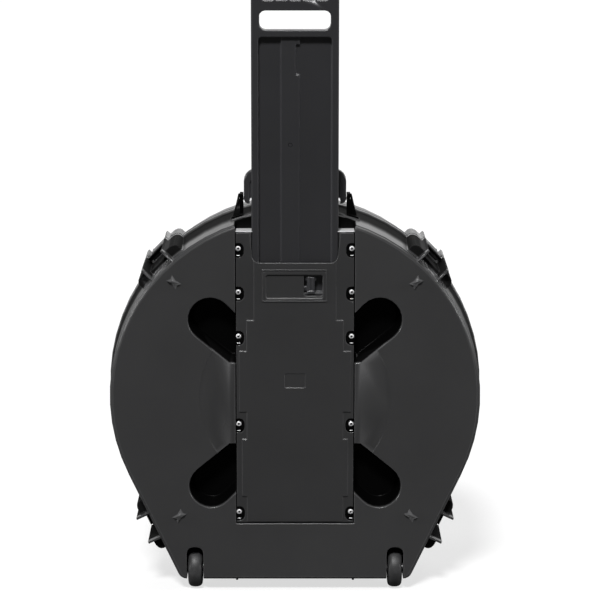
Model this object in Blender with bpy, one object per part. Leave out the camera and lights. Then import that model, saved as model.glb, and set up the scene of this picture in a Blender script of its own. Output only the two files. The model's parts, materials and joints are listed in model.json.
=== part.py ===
"""Upright wheeled hard case for cymbals, in metres with +Z up. Its back, with the pull handle, faces -Y."""

import math

import bmesh
import bpy
from mathutils import Matrix, Vector

# Shells
FACE_RADIUS = 0.341
SIDE_LEAN = 25.3
CENTRE_Z = 0.372
BASE_Z = 0.024
CORNER_RADIUS = 0.015
BACK_DEPTH = 0.150
LID_DEPTH = 0.110
WALL = 0.004
EDGE_ROUND = 0.0045
EDGE_SHARE = 0.3
DRAFT = 0.0065
RIM_OUT = 0.0105
RIM_THICK = 0.012
RIM_SLOPE = 0.002
RIM_CHAMFER = 0.001
RIM_GROOVE = 0.0035
RIM_GROOVE_HIGH = 0.003
LEDGE_DEPTH = 0.008
LEDGE_OUT = 0.0022
FLOOR_TAPER = 0.001
SHALLOW_RADIUS = 0.177
SHALLOW_DEPTH = 0.0008
DISH_RADIUS = 0.250
DISH_DEPTH = 0.003
ARC_STEPS = 40

# Clearances of still and of turning pieces, overlaps of joined bodies, reach of cutting tools beyond a cut
GAP = 0.0003
TURN_GAP = 0.0004
OVERLAP = 0.001
SLIVER = 0.0001
EMBED = 0.006
BEYOND = 0.01

# Stacking studs on the back and their sockets in the lid
STUD_TIP = 0.0185
STUD_WAIST = 0.0075
STUD_GROW = 0.001
STUD_TAPER = 0.002
STUD_PROUD = 0.005
STUD_UPPER = (0.222, 0.591)
STUD_LOWER = (0.216, 0.147)
SOCKET_CLEARANCE = 0.0015

# Channel for the pull handle, its cover and guides
CHANNEL_HALF = 0.110
CHANNEL_BOTTOM = 0.132
CHANNEL_DEPTH = 0.044
COVER_SINK = 0.003
COVER_THICK = 0.004
COVER_SIDE_GAP = 0.002
COVER_DROP = 0.031
PANEL_RAISE = 0.002
PANEL_FOOT = 0.0012
PANEL_HALF = 0.089
PANEL_STEPS = ((0.184, 0.098), (0.294, 0.089), (0.346, 0.103), (0.461, 0.089), (0.519, 0.0755))
PANEL_INTO_MOUTH = 0.020
MOUTH_Z = 0.6265
MOUTH_FLARE = 0.002
MOUTH_ROUND = 0.013
MOUTH_STRAIGHT = 0.008
SCREW_X = 0.104
SCREW_ROWS = (0.154, 0.323, 0.489, 0.572)
SCREW_DROP = 0.029
SCREW_HEAD = 0.0047
SCREW_HEAD_TOP = 0.8
SCREW_HEAD_THICK = 0.0024
SCREW_SHANK = 0.002
SCREW_LENGTH = 0.013
SCREW_PAD = 0.0105
SCREW_PAD_DROP = 0.0065
SCREW_PAD_SINK = 0.0022

# Tapered pockets beside the channel
POCKET_X = 0.1559
POCKET_SPREAD = 0.158
POCKET_MIDDLE_Z = 0.3625
POCKET_RADIUS = 0.0419
POCKET_SHELF = 0.0757
POCKET_TAPER = 0.010
POCKET_LEAN = 39.5
POCKET_WALL_OVER = 0.002
POCKET_MOUTH = 0.001
POCKET_BEYOND = 0.005

# Pull handle
HANDLE_HALF = 0.0795
HANDLE_STOP = 0.015
HANDLE_TRAVEL = 0.413
HANDLE_LENGTH = 0.572
HANDLE_THICK = 0.028
HANDLE_RIM = 0.013
HANDLE_RECESS = 0.0115
HANDLE_FOOT = 0.010
HANDLE_CORNER = 0.014
HANDLE_PLAY = 0.001
HANDLE_BEVEL = 0.002
RECESS_ROUND = 0.006
BAND_LEFT = -0.0257
BAND_RIGHT = 0.0087
BAND_HEIGHT = 0.005
BAND_LAP = 0.004
NOTCH_WIDTH = 0.0074
NOTCH_DROP = 0.0139
NOTCH_LENGTH = 0.055
HOLE_HALF = 0.0646
HOLE_HEIGHT = 0.0353
HOLE_SILL = 0.0121
HOLE_ROUND = 0.011
GRIP_BAR = 0.018
GRIP_EDGE = 0.010
CELL_HEIGHT = 0.018
CELL_PITCH = 0.0245
CELL_RIB = 0.0026
CELLS = 5
CELL_ROUND = 0.002
LUG_REACH = 0.0055
LUG_THICK = 0.007
LUG_HEIGHT = 0.024
LUG_RISE = 0.006
LUG_PLAY = 0.0005
GUIDE_LIP = 0.010
GUIDE_OVER = 0.001
GROOVE_LAP = 0.002

# Label recess, catch window and catch
LABEL = (-0.0600, 0.0579, 0.554, 0.611)
LABEL_RIM = 0.0065
LABEL_PROUD = 0.0012
LABEL_SINK = 0.0015
LABEL_ROUND = 0.006
LABEL_INNER_ROUND = 0.004
WINDOW = (0.0164, 0.0504, 0.565, 0.603)
WINDOW_ROUND = 0.003
DIMPLE = (-0.0193, 0.0188, 0.392, 0.419)
DIMPLE_SINK = 0.0008
CATCH_LEFT = 0.022
CATCH_WIDTH = 0.014
CATCH_THICK = 0.003
CATCH_NIB = 0.008
CATCH_NIB_Z = 0.574
CATCH_ROOT = 0.014
CATCH_ROOT_SIDE = 0.003
CATCH_ROOT_THICK = 0.0025
CATCH_ROOT_LAP = 0.010
CATCH_END_GAP = 0.003
CATCH_TIP = 0.0055
CATCH_TIP_PROUD = 0.0012
NIB_PLAY = 0.0006

# Wheels
WHEEL_RADIUS = 0.038
WHEEL_WIDTH = 0.027
WHEEL_X = 0.1874
WHEEL_INSET = 0.034
WELL_SIDE_GAP = 0.0022
WELL_TOP = 0.0854
WELL_ROUND = 0.012
WELL_WALL = 0.005
WELL_BACK_GAP = 0.004
TYRE_INSET = 0.0005
TYRE_CROWN = ((0.0, 0.010), (0.0012, 0.005), (0.0045, 0.0018), (0.009, 0.0))
HUB_RADIUS = 0.024
HUB_INSET = 0.002
HUB_WEB = 0.006
HUB_BOSS = 0.003
HUB_RING = 0.0035
HUB_DRAFT = 0.001
BEARING_RADIUS = 0.011
BEARING_WIDTH = 0.007
AXLE_RADIUS = 0.004
AXLE_OVER = 0.0045
AXLE_PLAY = 0.001

# Latches
LATCH_ANGLE = 45.6
LOWER_LATCH_Z = 0.122
LATCH_HALF = 0.0235
GUARD_RIB = 0.004
GUARD_HEIGHT = 0.0165
RIB_BACK = 0.142
RIB_FRONT = 0.070
SEAT_BACK = 0.103
SEAT_FRONT = 0.068
SEAT_RISE = 0.0002
SEAT_BEHIND_RIM = 0.0015
SEAT_BEFORE_RIM = 0.0045
BLOCK_INSET = 0.0006
RIB_CUT = 0.032
RIB_CUT_FLOOR = 0.0034
RIB_CUT_SIDE = 0.0015
BLOCK_HEIGHT = 0.0100
BLOCK_REACH = 0.0240
BLOCK_BACK = 0.124
BLOCK_FRONT = 0.056
PLATE_HALF = 0.017
PLATE_THICK = 0.002
PLATE_FROM = 0.008
PLATE_PAST_PIVOT = 0.012
LATCH_PIVOT_OUT = 0.0075
LATCH_PIVOT_IN = 0.050
LATCH_PIN = 0.0018
LEVER_HALF = 0.0205
LEVER_NECK = 0.0128
EAR_THICK = 0.003
EAR_HALF = 0.006
EAR_HEIGHT = 0.005
EAR_PLAY = 0.0006
PIN_HEAD = 0.0008
KEEPER_AT = -0.030
KEEPER_BACK = 0.016
KEEPER_FRONT = 0.006
KEEPER_HEIGHT = 0.0075
HOOK_THICK = 0.0025
LEVER_OVER_KEEPER = 0.0015
LEVER_THICK = 0.0035
LEVER_STEP = 0.0002
NECK_FROM = 0.028
BLADE_TO = 0.036
CLAW_PLAY = 0.0004
CLAW_THICK = 0.004
CLAW_TIP = 0.0058
TAIL_REACH = 0.0115
TAIL_RISE = 0.0015
LEVER_EYE = ((-0.0032, -0.0032), (0.0, -0.0045), (0.0032, -0.0032), (0.0045, 0.0), (0.003, 0.0035))

# Carrying handle
CARRY_HALF = 0.0945
CARRY_ARM = 0.010
CARRY_WIDE = 0.018
CARRY_RISE = 0.055
CARRY_GRIP = 0.017
CARRY_DEPTH = 0.075
CARRY_LIFT = 0.022
CARRY_OUTER_ROUND = 0.022
CARRY_INNER_ROUND = 0.012
CARRY_SIDE_PLAY = 0.001
CARRY_SEAT_PROUD = 0.0018
CARRY_SEAT_HALF = 0.020
CARRY_SEAT_BEFORE = 0.004
CARRY_SEAT_PAST = 0.006
CARRY_SEAT_DEEP = 0.040
CARRY_PIN = 0.003
CARRY_BOSS = 0.009
EAR_PLATE = 0.0065
EAR_OVER = 0.010
EAR_PLATE_HALF = 0.012
BRACKET_PLATE = 0.003
BRACKET_HALF = 0.015
BRACKET_TOE = 0.003
GUSSET = 0.0125
GUSSET_HALF = 0.003
GUSSET_TOP = 0.003
PIN_INSIDE = 0.002
PIN_SHORT = 0.0005
PIN_HOLE_OVER = 0.00075

# Hinge, feet, skids and seal
HINGE_LENGTH = 0.160
HINGE_BARREL = 0.0045
HINGE_PIN = 0.0016
LEAF_THICK = 0.002
LEAF_REACH = 0.032
LEAF_MARGIN = 0.002
LEAF_PAD_FROM = 0.005
BARREL_DROP = 0.0032
WEB_LAP = 0.003
FOOT_X = 0.165
FOOT_DEPTH = 0.232
FOOT_SIZE = 0.026
FOOT_SEAT_Z = 0.016
FOOT_BLOCK = 0.016
FOOT_BEVEL = 0.002
FOOT_BEVEL_HIGH = 0.0015
FOOT_ROUND = 0.004
SKID_X = 0.109
SKID_WIDE = 0.004
SKID_DROP = 0.006
SKID_FROM = 0.012
SKID_SHORT = 0.045
SEAL_WIDE = 0.004
SEAL_HIGH = 0.003
SEAL_OUT = 0.0065

# Inside
PAD_RADIUS = 0.300
LID_PAD_RADIUS = 0.285
PAD_THICK = 0.015
POST_RADIUS = 0.0055
POST_BASE = 0.028
POST_BASE_THICK = 0.003
POST_LENGTH = 0.098
FELT_RADIUS = 0.022
FELT_THICK = 0.010
NUT_HEIGHT = 0.013
NUT_WING = 0.019
NUT_RADIUS = 0.010
NUT_TAPER = 0.0015
WING_HALF_THICK = 0.002
WING_HIGH = 0.019
WING_LOW = 0.002
WING_NOTCH = 0.011
WING_DIP = 0.004
POST_HOLE_GAP = 0.002

FACE_Y = -(BACK_DEPTH + LID_DEPTH - STUD_PROUD) / 2
PART_Y = FACE_Y + BACK_DEPTH
LEAN = math.radians(SIDE_LEAN)
COVER_TOP = CENTRE_Z + FACE_RADIUS - COVER_DROP
ABOVE = CENTRE_Z + 2 * FACE_RADIUS
HANDLE_IN = COVER_SINK + COVER_THICK + HANDLE_PLAY
HANDLE_OUT = HANDLE_IN + HANDLE_THICK
HANDLE_BOTTOM = CHANNEL_BOTTOM + HANDLE_STOP + HANDLE_TRAVEL
HANDLE_TOP = HANDLE_BOTTOM + HANDLE_LENGTH
CELL_TOP = HANDLE_TOP - GRIP_EDGE
CELL_BOTTOM = CELL_TOP - CELL_HEIGHT
HOLE_TOP = CELL_BOTTOM - GRIP_BAR
HOLE_BOTTOM = HOLE_TOP - HOLE_HEIGHT
HANDLE_RECESS_TOP = HOLE_BOTTOM - HOLE_SILL
NOTCH_TOP = HANDLE_RECESS_TOP - NOTCH_DROP
NOTCH_BOTTOM = NOTCH_TOP - NOTCH_LENGTH
CARRY_PIVOT_Z = CENTRE_Z + FACE_RADIUS + CARRY_LIFT
CARRY_SEAT_IN = CARRY_HALF - CARRY_ARM - CARRY_SEAT_BEFORE
CARRY_SEAT_OUT = CARRY_HALF + EAR_PLATE + GUSSET + CARRY_SEAT_PAST
GUIDE_IN = COVER_SINK + COVER_THICK + GAP
GUIDE_OUT = CHANNEL_DEPTH - GAP
GUIDE_X = HANDLE_HALF + HANDLE_PLAY
INNER_LEVEL = CHANNEL_DEPTH + WALL
PAD_BOTTOM = INNER_LEVEL + GAP
AXLE_Y = FACE_Y + WHEEL_INSET
WELL_DEPTH = WHEEL_INSET + WHEEL_RADIUS + WELL_BACK_GAP
LEAF_TOP = BASE_Z - RIM_OUT - GAP
HINGE_Z = LEAF_TOP - LEAF_THICK - BARREL_DROP

COLOURS = {
    "shell": ((0.030, 0.030, 0.031), 0.55, 0.0),
    "cover": ((0.026, 0.026, 0.028), 0.50, 0.0),
    "handle": ((0.034, 0.034, 0.038), 0.50, 0.0),
    "steel": ((0.60, 0.60, 0.60), 0.30, 1.0),
    "dark_steel": ((0.06, 0.06, 0.06), 0.40, 0.7),
    "tyre": ((0.026, 0.026, 0.026), 0.70, 0.0),
    "hub": ((0.05, 0.05, 0.05), 0.50, 0.0),
    "rubber": ((0.02, 0.02, 0.02), 0.85, 0.0),
    "foam": ((0.035, 0.035, 0.038), 0.95, 0.0),
    "felt": ((0.12, 0.12, 0.12), 0.95, 0.0),
}


def material(slot):
    found = bpy.data.materials.get(slot)
    if found:
        return found
    made = bpy.data.materials.new(slot)
    made.use_nodes = True
    colour, roughness, metallic = COLOURS[slot]
    shader = made.node_tree.nodes["Principled BSDF"]
    shader.inputs["Base Color"].default_value = (*colour, 1.0)
    shader.inputs["Roughness"].default_value = roughness
    shader.inputs["Metallic"].default_value = metallic
    return made


def solid(name, bm, slot="shell", smooth=True):
    """Makes an object of a finished bmesh."""
    bmesh.ops.remove_doubles(bm, verts=bm.verts, dist=1e-6)
    bmesh.ops.recalc_face_normals(bm, faces=bm.faces)
    mesh = bpy.data.meshes.new(name)
    bm.to_mesh(mesh)
    bm.free()
    mesh.materials.append(material(slot))
    if smooth:
        mesh.shade_smooth()
        mesh.set_sharp_from_angle(angle=math.radians(30))
    made = bpy.data.objects.new(name, mesh)
    bpy.context.collection.objects.link(made)
    return made


def boolean(target, tool, operation):
    """Cuts or joins with an exact Boolean, and removes the tool."""
    step = target.modifiers.new(operation, "BOOLEAN")
    step.operation = operation
    step.object = tool
    bpy.context.view_layer.update()
    graph = bpy.context.evaluated_depsgraph_get()
    mesh = bpy.data.meshes.new_from_object(target.evaluated_get(graph))
    target.modifiers.clear()
    target.data = mesh
    bpy.data.objects.remove(tool)


def cut(target, tool):
    boolean(target, tool, "DIFFERENCE")


def join(target, tool):
    boolean(target, tool, "UNION")


def tool(bm):
    return solid("tool", bm)


def loft(rings):
    """A closed body through rings of equal count, its two ends filled."""
    bm = bmesh.new()
    loops = []
    for points in rings:
        corners = [bm.verts.new(point) for point in points]
        loops.append([bm.edges.new((a, b)) for a, b in zip(corners, corners[1:] + corners[:1])])
    for low, high in zip(loops, loops[1:]):
        bmesh.ops.bridge_loops(bm, edges=low + high)
    bmesh.ops.edgeloop_fill(bm, edges=loops[0])
    bmesh.ops.edgeloop_fill(bm, edges=loops[-1])
    return bm


def prism(outline_xz, low_depth, high_depth):
    """An outline seen from the back, pushed through from one depth to another."""
    return loft([[Vector((x, FACE_Y + depth, z)) for x, z in outline_xz]
                 for depth in (low_depth, high_depth)])


def box(x, y, z, matrix=None):
    """A box between two limits on each axis."""
    bm = bmesh.new()
    size = Matrix.Diagonal((x[1] - x[0], y[1] - y[0], z[1] - z[0], 1.0))
    middle = Vector((sum(x) / 2, sum(y) / 2, sum(z) / 2))
    bmesh.ops.create_cube(bm, size=1.0, matrix=Matrix.Translation(middle) @ size)
    if matrix:
        bm.transform(matrix)
    return bm


def turned(profile, steps, closed=False, matrix=None):
    """A profile of (along, radius) points spun round X."""
    bm = bmesh.new()
    corners = [bm.verts.new((along, radius, 0.0)) for along, radius in profile]
    edges = [bm.edges.new(pair) for pair in zip(corners, corners[1:])]
    if closed:
        edges.append(bm.edges.new((corners[-1], corners[0])))
    bmesh.ops.spin(bm, geom=corners + edges, cent=(0, 0, 0), axis=(1, 0, 0), angle=math.tau, steps=steps,
                   use_merge=True)
    bmesh.ops.remove_doubles(bm, verts=bm.verts, dist=1e-6)
    if matrix:
        bm.transform(matrix)
    return bm


def rod(low, high, radius, steps=12, matrix=None):
    return turned([(low, 0.0), (low, radius), (high, radius), (high, 0.0)], steps, matrix=matrix)


def along_y(x, z, y=FACE_Y):
    """Stands a body that was turned round X at (x, z), with its axis towards +Y."""
    return Matrix.Translation((x, y, z)) @ Matrix.Rotation(math.pi / 2, 4, "Z")


def merged(parts):
    """Several bodies in one bmesh."""
    whole = bmesh.new()
    for part in parts:
        mesh = bpy.data.meshes.new("part")
        part.to_mesh(mesh)
        part.free()
        whole.from_mesh(mesh)
        bpy.data.meshes.remove(mesh)
    return whole


def arc(centre, radius, start, end, steps):
    """Points on an arc, its angles in degrees."""
    angles = [math.radians(start + (end - start) * i / steps) for i in range(steps + 1)]
    return [(centre[0] + radius * math.cos(a), centre[1] + radius * math.sin(a)) for a in angles]


def rounded(x, z, radius, steps=3):
    """A rectangle with round corners."""
    points = []
    for corner, (cx, cz) in enumerate(((x[1], z[1]), (x[0], z[1]), (x[0], z[0]), (x[1], z[0]))):
        inward_x = -radius if corner in (0, 3) else radius
        inward_z = -radius if corner in (0, 1) else radius
        points += arc((cx + inward_x, cz + inward_z), radius, 90 * corner, 90 * corner + 90, steps)
    return points


def outline(grow, depth):
    """The case's outline, grown outwards, at a depth from the back face."""
    points = arc((0.0, CENTRE_Z), FACE_RADIUS + grow, -SIDE_LEAN, 180 + SIDE_LEAN, ARC_STEPS)
    corner_z = BASE_Z + CORNER_RADIUS
    corner_x = (FACE_RADIUS - CORNER_RADIUS + math.sin(LEAN) * (corner_z - CENTRE_Z)) / math.cos(LEAN)
    reach = CORNER_RADIUS + grow
    points += arc((-corner_x, corner_z), reach, 180 + SIDE_LEAN, 270, 4)
    points += arc((corner_x, corner_z), reach, 270, 360 - SIDE_LEAN, 4)
    return [Vector((x, FACE_Y + depth, z)) for x, z in points]


def shell_body(profile):
    return loft([outline(grow, depth) for grow, depth in profile])


def grow_at(depth):
    """How far the back half's side has grown by its draft at a depth."""
    return DRAFT * depth / BACK_DEPTH


def star(x, z, grow, taper, low_depth, high_depth):
    """A four-pointed stud with hollow sides."""
    rings = []
    for depth, extra in ((low_depth, grow), (high_depth, grow - taper)):
        points = []
        for i in range(8):
            radius = (STUD_TIP if i % 2 else STUD_WAIST) + extra
            angle = math.radians(45 * i)
            points.append(Vector((x + radius * math.cos(angle), FACE_Y + depth,
                                  z + radius * math.sin(angle))))
        rings.append(points)
    return loft(rings)


def stud_places():
    return [(side * x, z) for x, z in (STUD_UPPER, STUD_LOWER) for side in (-1, 1)]


def pocket(side, up, grow_mouth, grow_floor, low_depth, high_depth):
    """One tapered pocket, open towards the channel. Side and up are -1 or 1."""
    rings = []
    inner = CHANNEL_HALF - WALL
    for depth, grow in ((low_depth, grow_mouth), (high_depth, grow_floor)):
        curve = arc((POCKET_X, POCKET_SPREAD), POCKET_RADIUS + grow, 135, POCKET_LEAN - 90, 12)
        top = curve[0]
        low = curve[-1]
        run = (low[1] - POCKET_SHELF + grow) / math.tan(math.radians(POCKET_LEAN))
        points = [(inner, top[1] - (top[0] - inner))] + curve
        points += [(low[0] - run, POCKET_SHELF - grow), (inner, POCKET_SHELF - grow)]
        rings.append([Vector((side * a, FACE_Y + depth, POCKET_MIDDLE_Z + up * b)) for a, b in points])
    return loft(rings)


def latch_frames():
    """A frame for each latch: X along the rim, Y towards the lid, Z outwards, at the rim on the parting."""
    frames = {}
    drop = (CENTRE_Z - (FACE_RADIUS + RIM_OUT) * math.sin(LEAN) - LOWER_LATCH_Z) / math.cos(LEAN)
    for name, angle, slide in (("upper_left", 90 + LATCH_ANGLE, 0.0), ("upper_right", 90 - LATCH_ANGLE, 0.0),
                               ("lower_left", 180 + SIDE_LEAN, -drop), ("lower_right", -SIDE_LEAN, drop)):
        a = math.radians(angle)
        outward = Vector((math.cos(a), 0.0, math.sin(a)))
        along = Vector((math.sin(a), 0.0, -math.cos(a)))
        place = Vector((0.0, PART_Y, CENTRE_Z)) + outward * (FACE_RADIUS + RIM_OUT) + along * slide
        frames[name] = Matrix((
            (along.x, 0.0, outward.x, place.x),
            (along.y, 1.0, outward.y, place.y),
            (along.z, 0.0, outward.z, place.z),
            (0.0, 0.0, 0.0, 1.0)))
    return frames


def latch_blocks(frame, near, seat_far, rib_far, block_far):
    """The flat seat with its guard ribs, and the rounded end blocks, of one latch on one half."""
    sunk = -RIM_OUT - WALL
    outer = LATCH_HALF + GUARD_RIB
    seat = (-outer + OVERLAP, outer - OVERLAP)
    parts = [box(seat, sorted((near, seat_far)), (sunk - GAP, SEAT_RISE), frame)]
    root = sunk - BLOCK_INSET
    block = [(outer - 2 * OVERLAP, root), (outer - 2 * OVERLAP, BLOCK_HEIGHT)]
    block += [(outer + BLOCK_REACH * along, BLOCK_HEIGHT * high)
              for along, high in ((0.55, 0.90), (0.80, 0.66), (0.94, 0.30), (1.0, -0.10))]
    block += [(outer + BLOCK_REACH, root)]
    inset = math.copysign(BLOCK_INSET, seat_far)
    for side in (-1, 1):
        x = sorted((side * LATCH_HALF, side * outer))
        parts.append(box(x, sorted((near + inset / 2, rib_far)), (sunk, GUARD_HEIGHT), frame))
        parts.append(loft([[frame @ Vector((side * u, w, v)) for u, v in block]
                           for w in (near + inset, block_far)]))
    return parts


def lathe_disc(radius, low_depth, high_depth, steps=48):
    """A disc round the case's centre, between two depths."""
    return rod(low_depth, high_depth, radius, steps, along_y(0.0, CENTRE_Z))


def carry_seat(x):
    """Height of the sloping seat under a carrying handle's bracket, at a distance from the middle."""
    radius = FACE_RADIUS + grow_at(CARRY_DEPTH + CARRY_WIDE) + CARRY_SEAT_PROUD
    ends = [CENTRE_Z + math.sqrt(radius ** 2 - end ** 2) for end in (CARRY_SEAT_IN, CARRY_SEAT_OUT)]
    return ends[0] + (ends[1] - ends[0]) * (x - CARRY_SEAT_IN) / (CARRY_SEAT_OUT - CARRY_SEAT_IN)


def over_carry_seat(side, span, low, high):
    """An outline over the sloping seat, between two distances from the middle."""
    near, far = span
    return [(side * near, carry_seat(near) + low), (side * far, carry_seat(far) + low),
            (side * far, carry_seat(far) + high), (side * near, carry_seat(near) + high)]


def hinge_pad(low, high):
    """The flat pad under the base that a hinge leaf is riveted to, between two distances from the parting."""
    half = HINGE_LENGTH / 2 + LEAF_MARGIN
    return box((-half, half), (PART_Y + low, PART_Y + high), (BASE_Z - RIM_OUT, BASE_Z + EMBED))


def back_shell():
    deep = BACK_DEPTH
    shell = solid("back_shell", shell_body([
        (-EDGE_ROUND, 0.0), (-EDGE_SHARE * EDGE_ROUND, EDGE_SHARE * EDGE_ROUND), (0.0, EDGE_ROUND),
        (grow_at(LEDGE_DEPTH), LEDGE_DEPTH), (LEDGE_OUT, LEDGE_DEPTH + OVERLAP),
        (DRAFT, deep - RIM_THICK - RIM_SLOPE),
        (RIM_OUT, deep - RIM_THICK), (RIM_OUT, deep - RIM_CHAMFER), (RIM_OUT - RIM_CHAMFER, deep)]))
    for name, frame in latch_frames().items():
        for block in latch_blocks(frame, -SEAT_BEHIND_RIM, -SEAT_BACK, -RIB_BACK, -BLOCK_BACK):
            join(shell, tool(block))
        if name.startswith("lower"):
            for side in (-1, 1):
                x = sorted((side * (LATCH_HALF - OVERLAP), side * (LATCH_HALF + GUARD_RIB + RIB_CUT_SIDE)))
                cut(shell, tool(box(x, (-RIB_CUT, OVERLAP), (RIB_CUT_FLOOR, GUARD_HEIGHT + BEYOND), frame)))
    for side in (-1, 1):
        seat = over_carry_seat(side, (CARRY_SEAT_IN, CARRY_SEAT_OUT), -CARRY_SEAT_DEEP, 0.0)
        join(shell, tool(prism(seat, CARRY_DEPTH - CARRY_SEAT_HALF, CARRY_DEPTH + CARRY_SEAT_HALF)))
        x = (side * SKID_X - SKID_WIDE / 2, side * SKID_X + SKID_WIDE / 2)
        y = (FACE_Y + SKID_FROM, PART_Y - SKID_SHORT)
        join(shell, tool(box(x, y, (BASE_Z - SKID_DROP, BASE_Z + EMBED))))
    join(shell, tool(hinge_pad(-LEAF_REACH - LEAF_MARGIN, -LEAF_MARGIN)))
    for x, z in stud_places():
        join(shell, tool(star(x, z, STUD_GROW, -STUD_TAPER, -STUD_PROUD, 2 * OVERLAP)))
    cavity = tool(shell_body([
        (-EDGE_ROUND - WALL, WALL), (-WALL - FLOOR_TAPER, WALL + EDGE_ROUND),
        (DRAFT - WALL, deep - RIM_THICK - WALL), (DRAFT - WALL, deep + BEYOND)]))
    half = CHANNEL_HALF + WALL
    cut(cavity, tool(box((-half, half), (FACE_Y - BEYOND, FACE_Y + INNER_LEVEL),
                         (CHANNEL_BOTTOM - WALL, ABOVE))))
    for side in (-1, 1):
        for up in (-1, 1):
            cut(cavity, tool(pocket(side, up, WALL + POCKET_WALL_OVER, WALL - POCKET_TAPER + OVERLAP, -BEYOND,
                                    INNER_LEVEL)))
        x = side * WHEEL_X
        reach = WHEEL_WIDTH / 2 + WELL_SIDE_GAP + WELL_WALL
        cut(cavity, tool(box((x - reach, x + reach), (FACE_Y - BEYOND, FACE_Y + WELL_DEPTH + WELL_WALL),
                             (-BEYOND, WELL_TOP + WELL_WALL))))
    cut(shell, cavity)
    cut(shell, tool(lathe_disc(SHALLOW_RADIUS, -BEYOND, SHALLOW_DEPTH)))
    cut(shell, tool(box((-CHANNEL_HALF, CHANNEL_HALF), (FACE_Y - BEYOND, FACE_Y + CHANNEL_DEPTH),
                        (CHANNEL_BOTTOM, ABOVE))))
    for side in (-1, 1):
        for up in (-1, 1):
            cut(shell, tool(pocket(side, up, POCKET_MOUTH, -POCKET_TAPER, -POCKET_BEYOND,
                                   CHANNEL_DEPTH - SLIVER)))
        x = side * WHEEL_X
        reach = WHEEL_WIDTH / 2 + WELL_SIDE_GAP
        well = rounded((x - reach, x + reach), (-2 * WELL_ROUND, WELL_TOP), WELL_ROUND)
        cut(shell, tool(prism(well, -BEYOND, WELL_DEPTH)))
        turn = Matrix.Translation((x, AXLE_Y, WHEEL_RADIUS))
        cut(shell, tool(rod(-reach - AXLE_OVER - GAP, reach + AXLE_OVER + GAP, AXLE_RADIUS + GAP, 12, turn)))
    groove_in = SEAL_OUT - SEAL_WIDE / 2 - GAP
    groove_out = SEAL_OUT + SEAL_WIDE / 2 + GAP
    groove = tool(shell_body([(groove_out, deep - SEAL_HIGH - GAP), (groove_out, deep + BEYOND)]))
    cut(groove, tool(shell_body([(groove_in, deep - SEAL_HIGH - BEYOND), (groove_in, deep + 2 * BEYOND)])))
    cut(shell, groove)
    return shell


def front_shell():
    start = BACK_DEPTH + GAP
    rim = start + RIM_GROOVE_HIGH
    end = BACK_DEPTH + LID_DEPTH
    shell = solid("front_shell", shell_body([
        (RIM_OUT - RIM_GROOVE, start), (RIM_OUT - RIM_GROOVE, rim), (RIM_OUT, rim + 2 * SLIVER),
        (RIM_OUT, rim + RIM_THICK), (DRAFT, rim + RIM_THICK + RIM_SLOPE),
        (0.0, end - EDGE_ROUND), (-EDGE_SHARE * EDGE_ROUND, end - EDGE_SHARE * EDGE_ROUND),
        (-EDGE_ROUND, end)]))
    for frame in latch_frames().values():
        for block in latch_blocks(frame, SEAT_BEFORE_RIM, SEAT_FRONT, RIB_FRONT, BLOCK_FRONT):
            join(shell, tool(block))
    join(shell, tool(hinge_pad(LEAF_PAD_FROM, LEAF_REACH + LEAF_MARGIN)))
    for side in (-1, 1):
        x = (side * FOOT_X - FOOT_BLOCK, side * FOOT_X + FOOT_BLOCK)
        y = FACE_Y + FOOT_DEPTH
        join(shell, tool(box(x, (y - FOOT_BLOCK, y + FOOT_BLOCK), (FOOT_SEAT_Z, BASE_Z + EMBED))))
    cavity = tool(shell_body([
        (DRAFT - WALL, BACK_DEPTH - BEYOND), (DRAFT - WALL, start + RIM_THICK + RIM_SLOPE + WALL),
        (-WALL - FLOOR_TAPER / 2, end - WALL - EDGE_ROUND), (-EDGE_ROUND - WALL, end - WALL)]))
    cut(cavity, tool(lathe_disc(DISH_RADIUS + WALL, end - DISH_DEPTH - WALL, end + BEYOND)))
    socket = end - STUD_PROUD - OVERLAP
    for x, z in stud_places():
        cut(cavity, tool(rod(socket - WALL, end + BEYOND, STUD_TIP + WALL, 16, along_y(x, z))))
    cut(shell, cavity)
    cut(shell, tool(lathe_disc(DISH_RADIUS, end - DISH_DEPTH, end + BEYOND)))
    for x, z in stud_places():
        cut(shell, tool(star(x, z, SOCKET_CLEARANCE, 0.0, socket, end + BEYOND)))
    return shell


def rim_seal():
    seal = solid("rim_seal", shell_body([(SEAL_OUT + SEAL_WIDE / 2, BACK_DEPTH - SEAL_HIGH),
                                         (SEAL_OUT + SEAL_WIDE / 2, BACK_DEPTH)]), "rubber")
    cut(seal, tool(shell_body([(SEAL_OUT - SEAL_WIDE / 2, BACK_DEPTH - SEAL_HIGH - BEYOND),
                               (SEAL_OUT - SEAL_WIDE / 2, BACK_DEPTH + BEYOND)])))


def screw_places():
    return [(side * SCREW_X, z) for z in (*SCREW_ROWS, COVER_TOP - SCREW_DROP) for side in (-1, 1)]


def mouth_outline():
    """The flared mouth in the cover that the handle's back is seen through."""
    top = GUIDE_X + MOUTH_FLARE
    low = GUIDE_X - MOUTH_FLARE
    corners = arc((-low + MOUTH_ROUND, MOUTH_Z + MOUTH_ROUND), MOUTH_ROUND, 180, 270, 5)
    corners += arc((low - MOUTH_ROUND, MOUTH_Z + MOUTH_ROUND), MOUTH_ROUND, 270, 360, 5)
    bend = COVER_TOP - MOUTH_STRAIGHT
    return [(-top, ABOVE), (-top, bend)] + corners + [(top, bend), (top, ABOVE)]


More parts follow.
